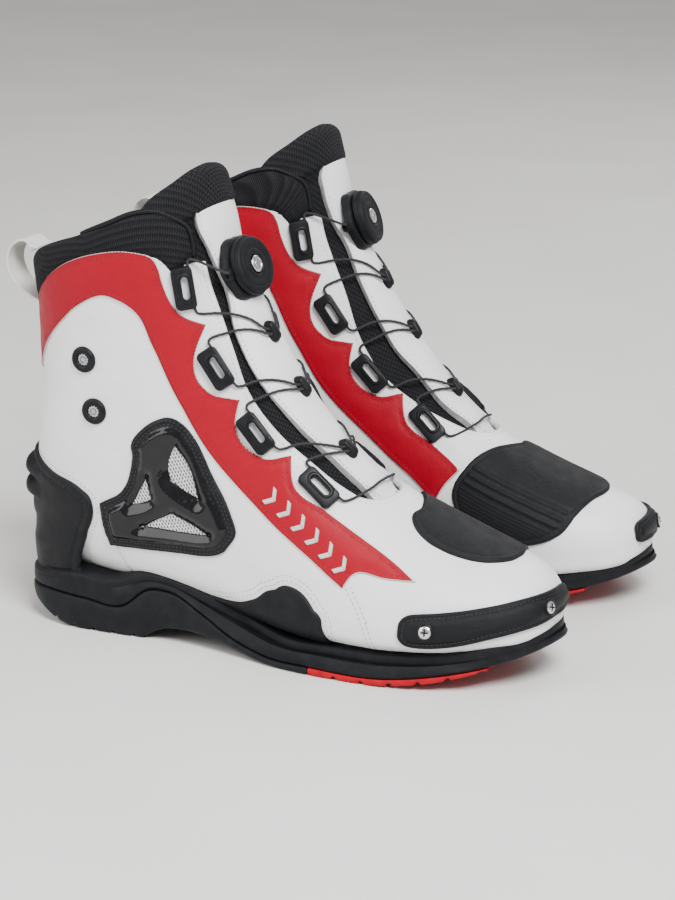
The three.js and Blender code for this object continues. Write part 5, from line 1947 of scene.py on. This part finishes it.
# ---------------------------------------------------------------- stitching
def rows_in(outline, inset, keep=None):
    """Runs of a line inside an outline that pass a test on their 3-D points."""
    runs = []
    for run, closed in seam_lines(outline, inset):
        runs += runs_where(run, keep(on_form(run), run), closed) if keep else [(run, closed)]
    return runs


def stitched(shape, runs, lift, slot=0, **how):
    for run, closed in runs:
        stitch_shape(shape, run, lift, closed, slot=slot, **how)


def outside_row(outline, distance, keep):
    """A row that follows an outline `distance` mm outside it."""
    line = shifted(oriented(outline), -distance)
    points = on_form(line)
    good = keep(points)
    start = int(np.argmin(good))
    apart = distance_to(points, dense(outline))
    line, good, apart = np.roll(line, -start, axis=0), np.roll(good, -start), np.roll(apart, -start)
    return line[good & (apart > 0.94 * distance) & (apart < 1.08 * distance)]


threads = Shape()
not_heel = lambda points, run: np.abs(run[:, 1]) < PI - 0.06
stitched(threads, rows_in(red_outline, SEAM_INSET, not_heel), OVERLAY - 0.25, slot=1)
stitched(threads, rows_in(red_inner_outline, SEAM_INSET, not_heel), OVERLAY - 0.25, slot=1)
throat_part = lambda points, run: (np.abs(run[:, 1]) < 1.35) & (run[:, 0] > 5.5) & (points[:, 2] < 202)
stitched(threads, rows_in(upper_outline, SEAM_INSET, throat_part), -0.25, slot=0, radius=0.26)
above_sole = lambda points: points[:, 2] > midsole_top(points[:, 0]) + 1.5
for distance in (2.4, 5.0):
    row = outside_row(rand_outline, distance, lambda points: above_sole(points) & (points[:, 0] > 116))
    stitch_shape(threads, row, -0.05, slot=0, radius=0.3)
    row = shifted(vamp_seam, distance - 2.4, closed=False)
    row = row[above_sole(on_form(row))]
    if len(row) > 4:
        stitch_shape(threads, row, -0.05, slot=0, radius=0.3)
row = outside_row(counter_outline, 2.6, above_sole)
stitch_shape(threads, row, -0.05, slot=0, radius=0.26)
row = shifted(quarter_seam, 1.8, closed=False)
stitch_shape(threads, row[above_sole(on_form(row))], -0.1, slot=0, radius=0.26)
for side in (1, -1):
    for inset in (1.5, 3.3):
        stitched(threads, rows_in(guard_outline[side], inset), 1.6, slot=2, pitch=2.3, length=1.6)
stitched(threads, rows_in(counter_outline, COUNTER_SEAM), 1.75, slot=2)
slider_ring = np.array([slider_points[k] + slider_normals[k] * 2.05 for k in loop])
slider_out = slider_normals[loop]
step = np.roll(slider_ring, -1, axis=0) - np.roll(slider_ring, 1, axis=0)
toward = np.cross(slider_out, step)
toward /= np.linalg.norm(toward, axis=1)[:, None]
inset = slider_ring + SLIDER_SEAM * toward
clear = distance_to(inset, slider_ring) > 2.45
inset, slider_out = inset[clear], slider_out[clear]
travel = travelled_along(inset)
spots = np.arange(0, travel[-1], 2.3)
seam = np.column_stack([np.interp(spots, travel, inset[:, k]) for k in range(3)])
outward = np.column_stack([np.interp(spots, travel, slider_out[:, k]) for k in range(3)])
outward /= np.linalg.norm(outward, axis=1)[:, None]
heading = np.gradient(seam, axis=0)
heading -= outward * np.sum(heading * outward, axis=1)[:, None]
heading /= np.linalg.norm(heading, axis=1)[:, None]
place_capsules(threads, seam, heading, np.cross(outward, heading), outward, 1.6, 0.3, 2)
build("stitching", threads, [GREY_THREAD, RED_THREAD, BLACK_THREAD], sharp=0)

shield_threads = Shape()
stitched(shield_threads, rows_in(shield_outline, SHIELD_SEAM), SHIELD_HIGH - 0.2, radius=0.26)
build("shield_stitching", shield_threads, [GREY_THREAD], body="tongue", sharp=0)

# ---------------------------------------------------------------- embroidered chevrons on the outer panel
BAND_FROM = (151, 86.0)
BAND_TO = (192, 56.5)
CHEVRONS = 6
ARM = 4.4
shape = Shape()
spots = np.array([np.array(BAND_FROM) + (np.array(BAND_TO) - BAND_FROM) * k / (CHEVRONS - 1)
                  for k in range(CHEVRONS)])
chevron_places = on_outer(spots)
for place in chevron_places:
    heading = np.array([BAND_TO[0] - BAND_FROM[0], 0, BAND_TO[1] - BAND_FROM[1]])
    seat = seat_on_form(place, OVERLAY + 0.45, heading)
    for arm in (-1, 1):
        for k in range(11):
            t = k / 10
            centre = seat.at((arm * ARM * t, 1.6 - 3.0 * t, -0.05 * t))
            place_capsules(shape, centre, seat.along[None] + 0.15 * seat.across[None], seat.across[None],
                           seat.out[None], 2.7, 0.33, 0)
build("embroidery", shape, [WHITE_THREAD], sharp=0)

# ---------------------------------------------------------------- floor, lights and camera
def stage_floor():
    mesh = bpy.data.meshes.new("floor")
    wide = 3.0
    mesh.from_pydata([(-wide, -wide, 0), (wide, -wide, 0), (wide, wide, 0), (-wide, wide, 0)], [],
                     [(0, 1, 2, 3)])
    floor = bpy.data.objects.new("floor", mesh)
    bpy.context.scene.collection.objects.link(floor)
    m = Nodes("floor", (0.74, 0.73, 0.715), 0.75)
    m.bumps((m.noise(3.0, 4.0), 0.02))
    m.paint(m.mix(m.ramp(m.noise(160.0, 4.0), 0.3, 0.7), (0.76, 0.75, 0.735), (0.71, 0.70, 0.685)))
    mesh.materials.append(m.material)


def soft_light(name, place, aim, size, power):
    light = bpy.data.lights.new(name, "AREA")
    light.shape = "SQUARE"
    light.size = size
    light.energy = power
    lamp = bpy.data.objects.new(name, light)
    bpy.context.scene.collection.objects.link(lamp)
    lamp.location = place
    lamp.rotation_euler = (Vector(aim) - Vector(place)).to_track_quat("-Z", "Y").to_euler()


stage_floor()
MIDDLE = (0.0, 0.0, 0.1)
soft_light("window", (0.9, -0.9, 1.5), MIDDLE, size=0.8, power=62.0)
soft_light("room", (-1.2, -1.2, 1.0), MIDDLE, size=1.3, power=24.0)
soft_light("behind", (0.2, 1.5, 1.3), MIDDLE, size=1.0, power=12.0)
world = bpy.data.worlds.new("room")
world.use_nodes = True
world.node_tree.nodes["Background"].inputs["Color"].default_value = (0.82, 0.80, 0.79, 1)
world.node_tree.nodes["Background"].inputs["Strength"].default_value = 0.62
bpy.context.scene.world = world

# The camera: the photograph's direction and distance from the right boot.
AZIMUTH = math.radians(25.0)
ELEVATION = math.radians(15.5)
back = Vector((math.sin(AZIMUTH) * math.cos(ELEVATION), -math.cos(AZIMUTH) * math.cos(ELEVATION),
               math.sin(ELEVATION)))
right = Vector((math.cos(AZIMUTH), math.sin(AZIMUTH), 0))
up = back.cross(right)
DISTANCE = 1.464
lens = bpy.data.cameras.new("camera")
lens.sensor_width = 36.0
lens.lens = 114.16
lens.clip_start = 0.02
camera = bpy.data.objects.new("camera", lens)
bpy.context.scene.collection.objects.link(camera)
AIM_FROM_ORIGIN = Vector((0.150, 0, 0.100))
AIM_RIGHT = 0.0178
AIM_UP = 0.0012
aim = Vector(ORIGIN) + AIM_FROM_ORIGIN + right * AIM_RIGHT + up * AIM_UP
place = aim + back * DISTANCE
turn = Matrix((right, up, back)).transposed().to_4x4()
camera.matrix_world = Matrix.Translation(place) @ turn
bpy.context.scene.camera = camera
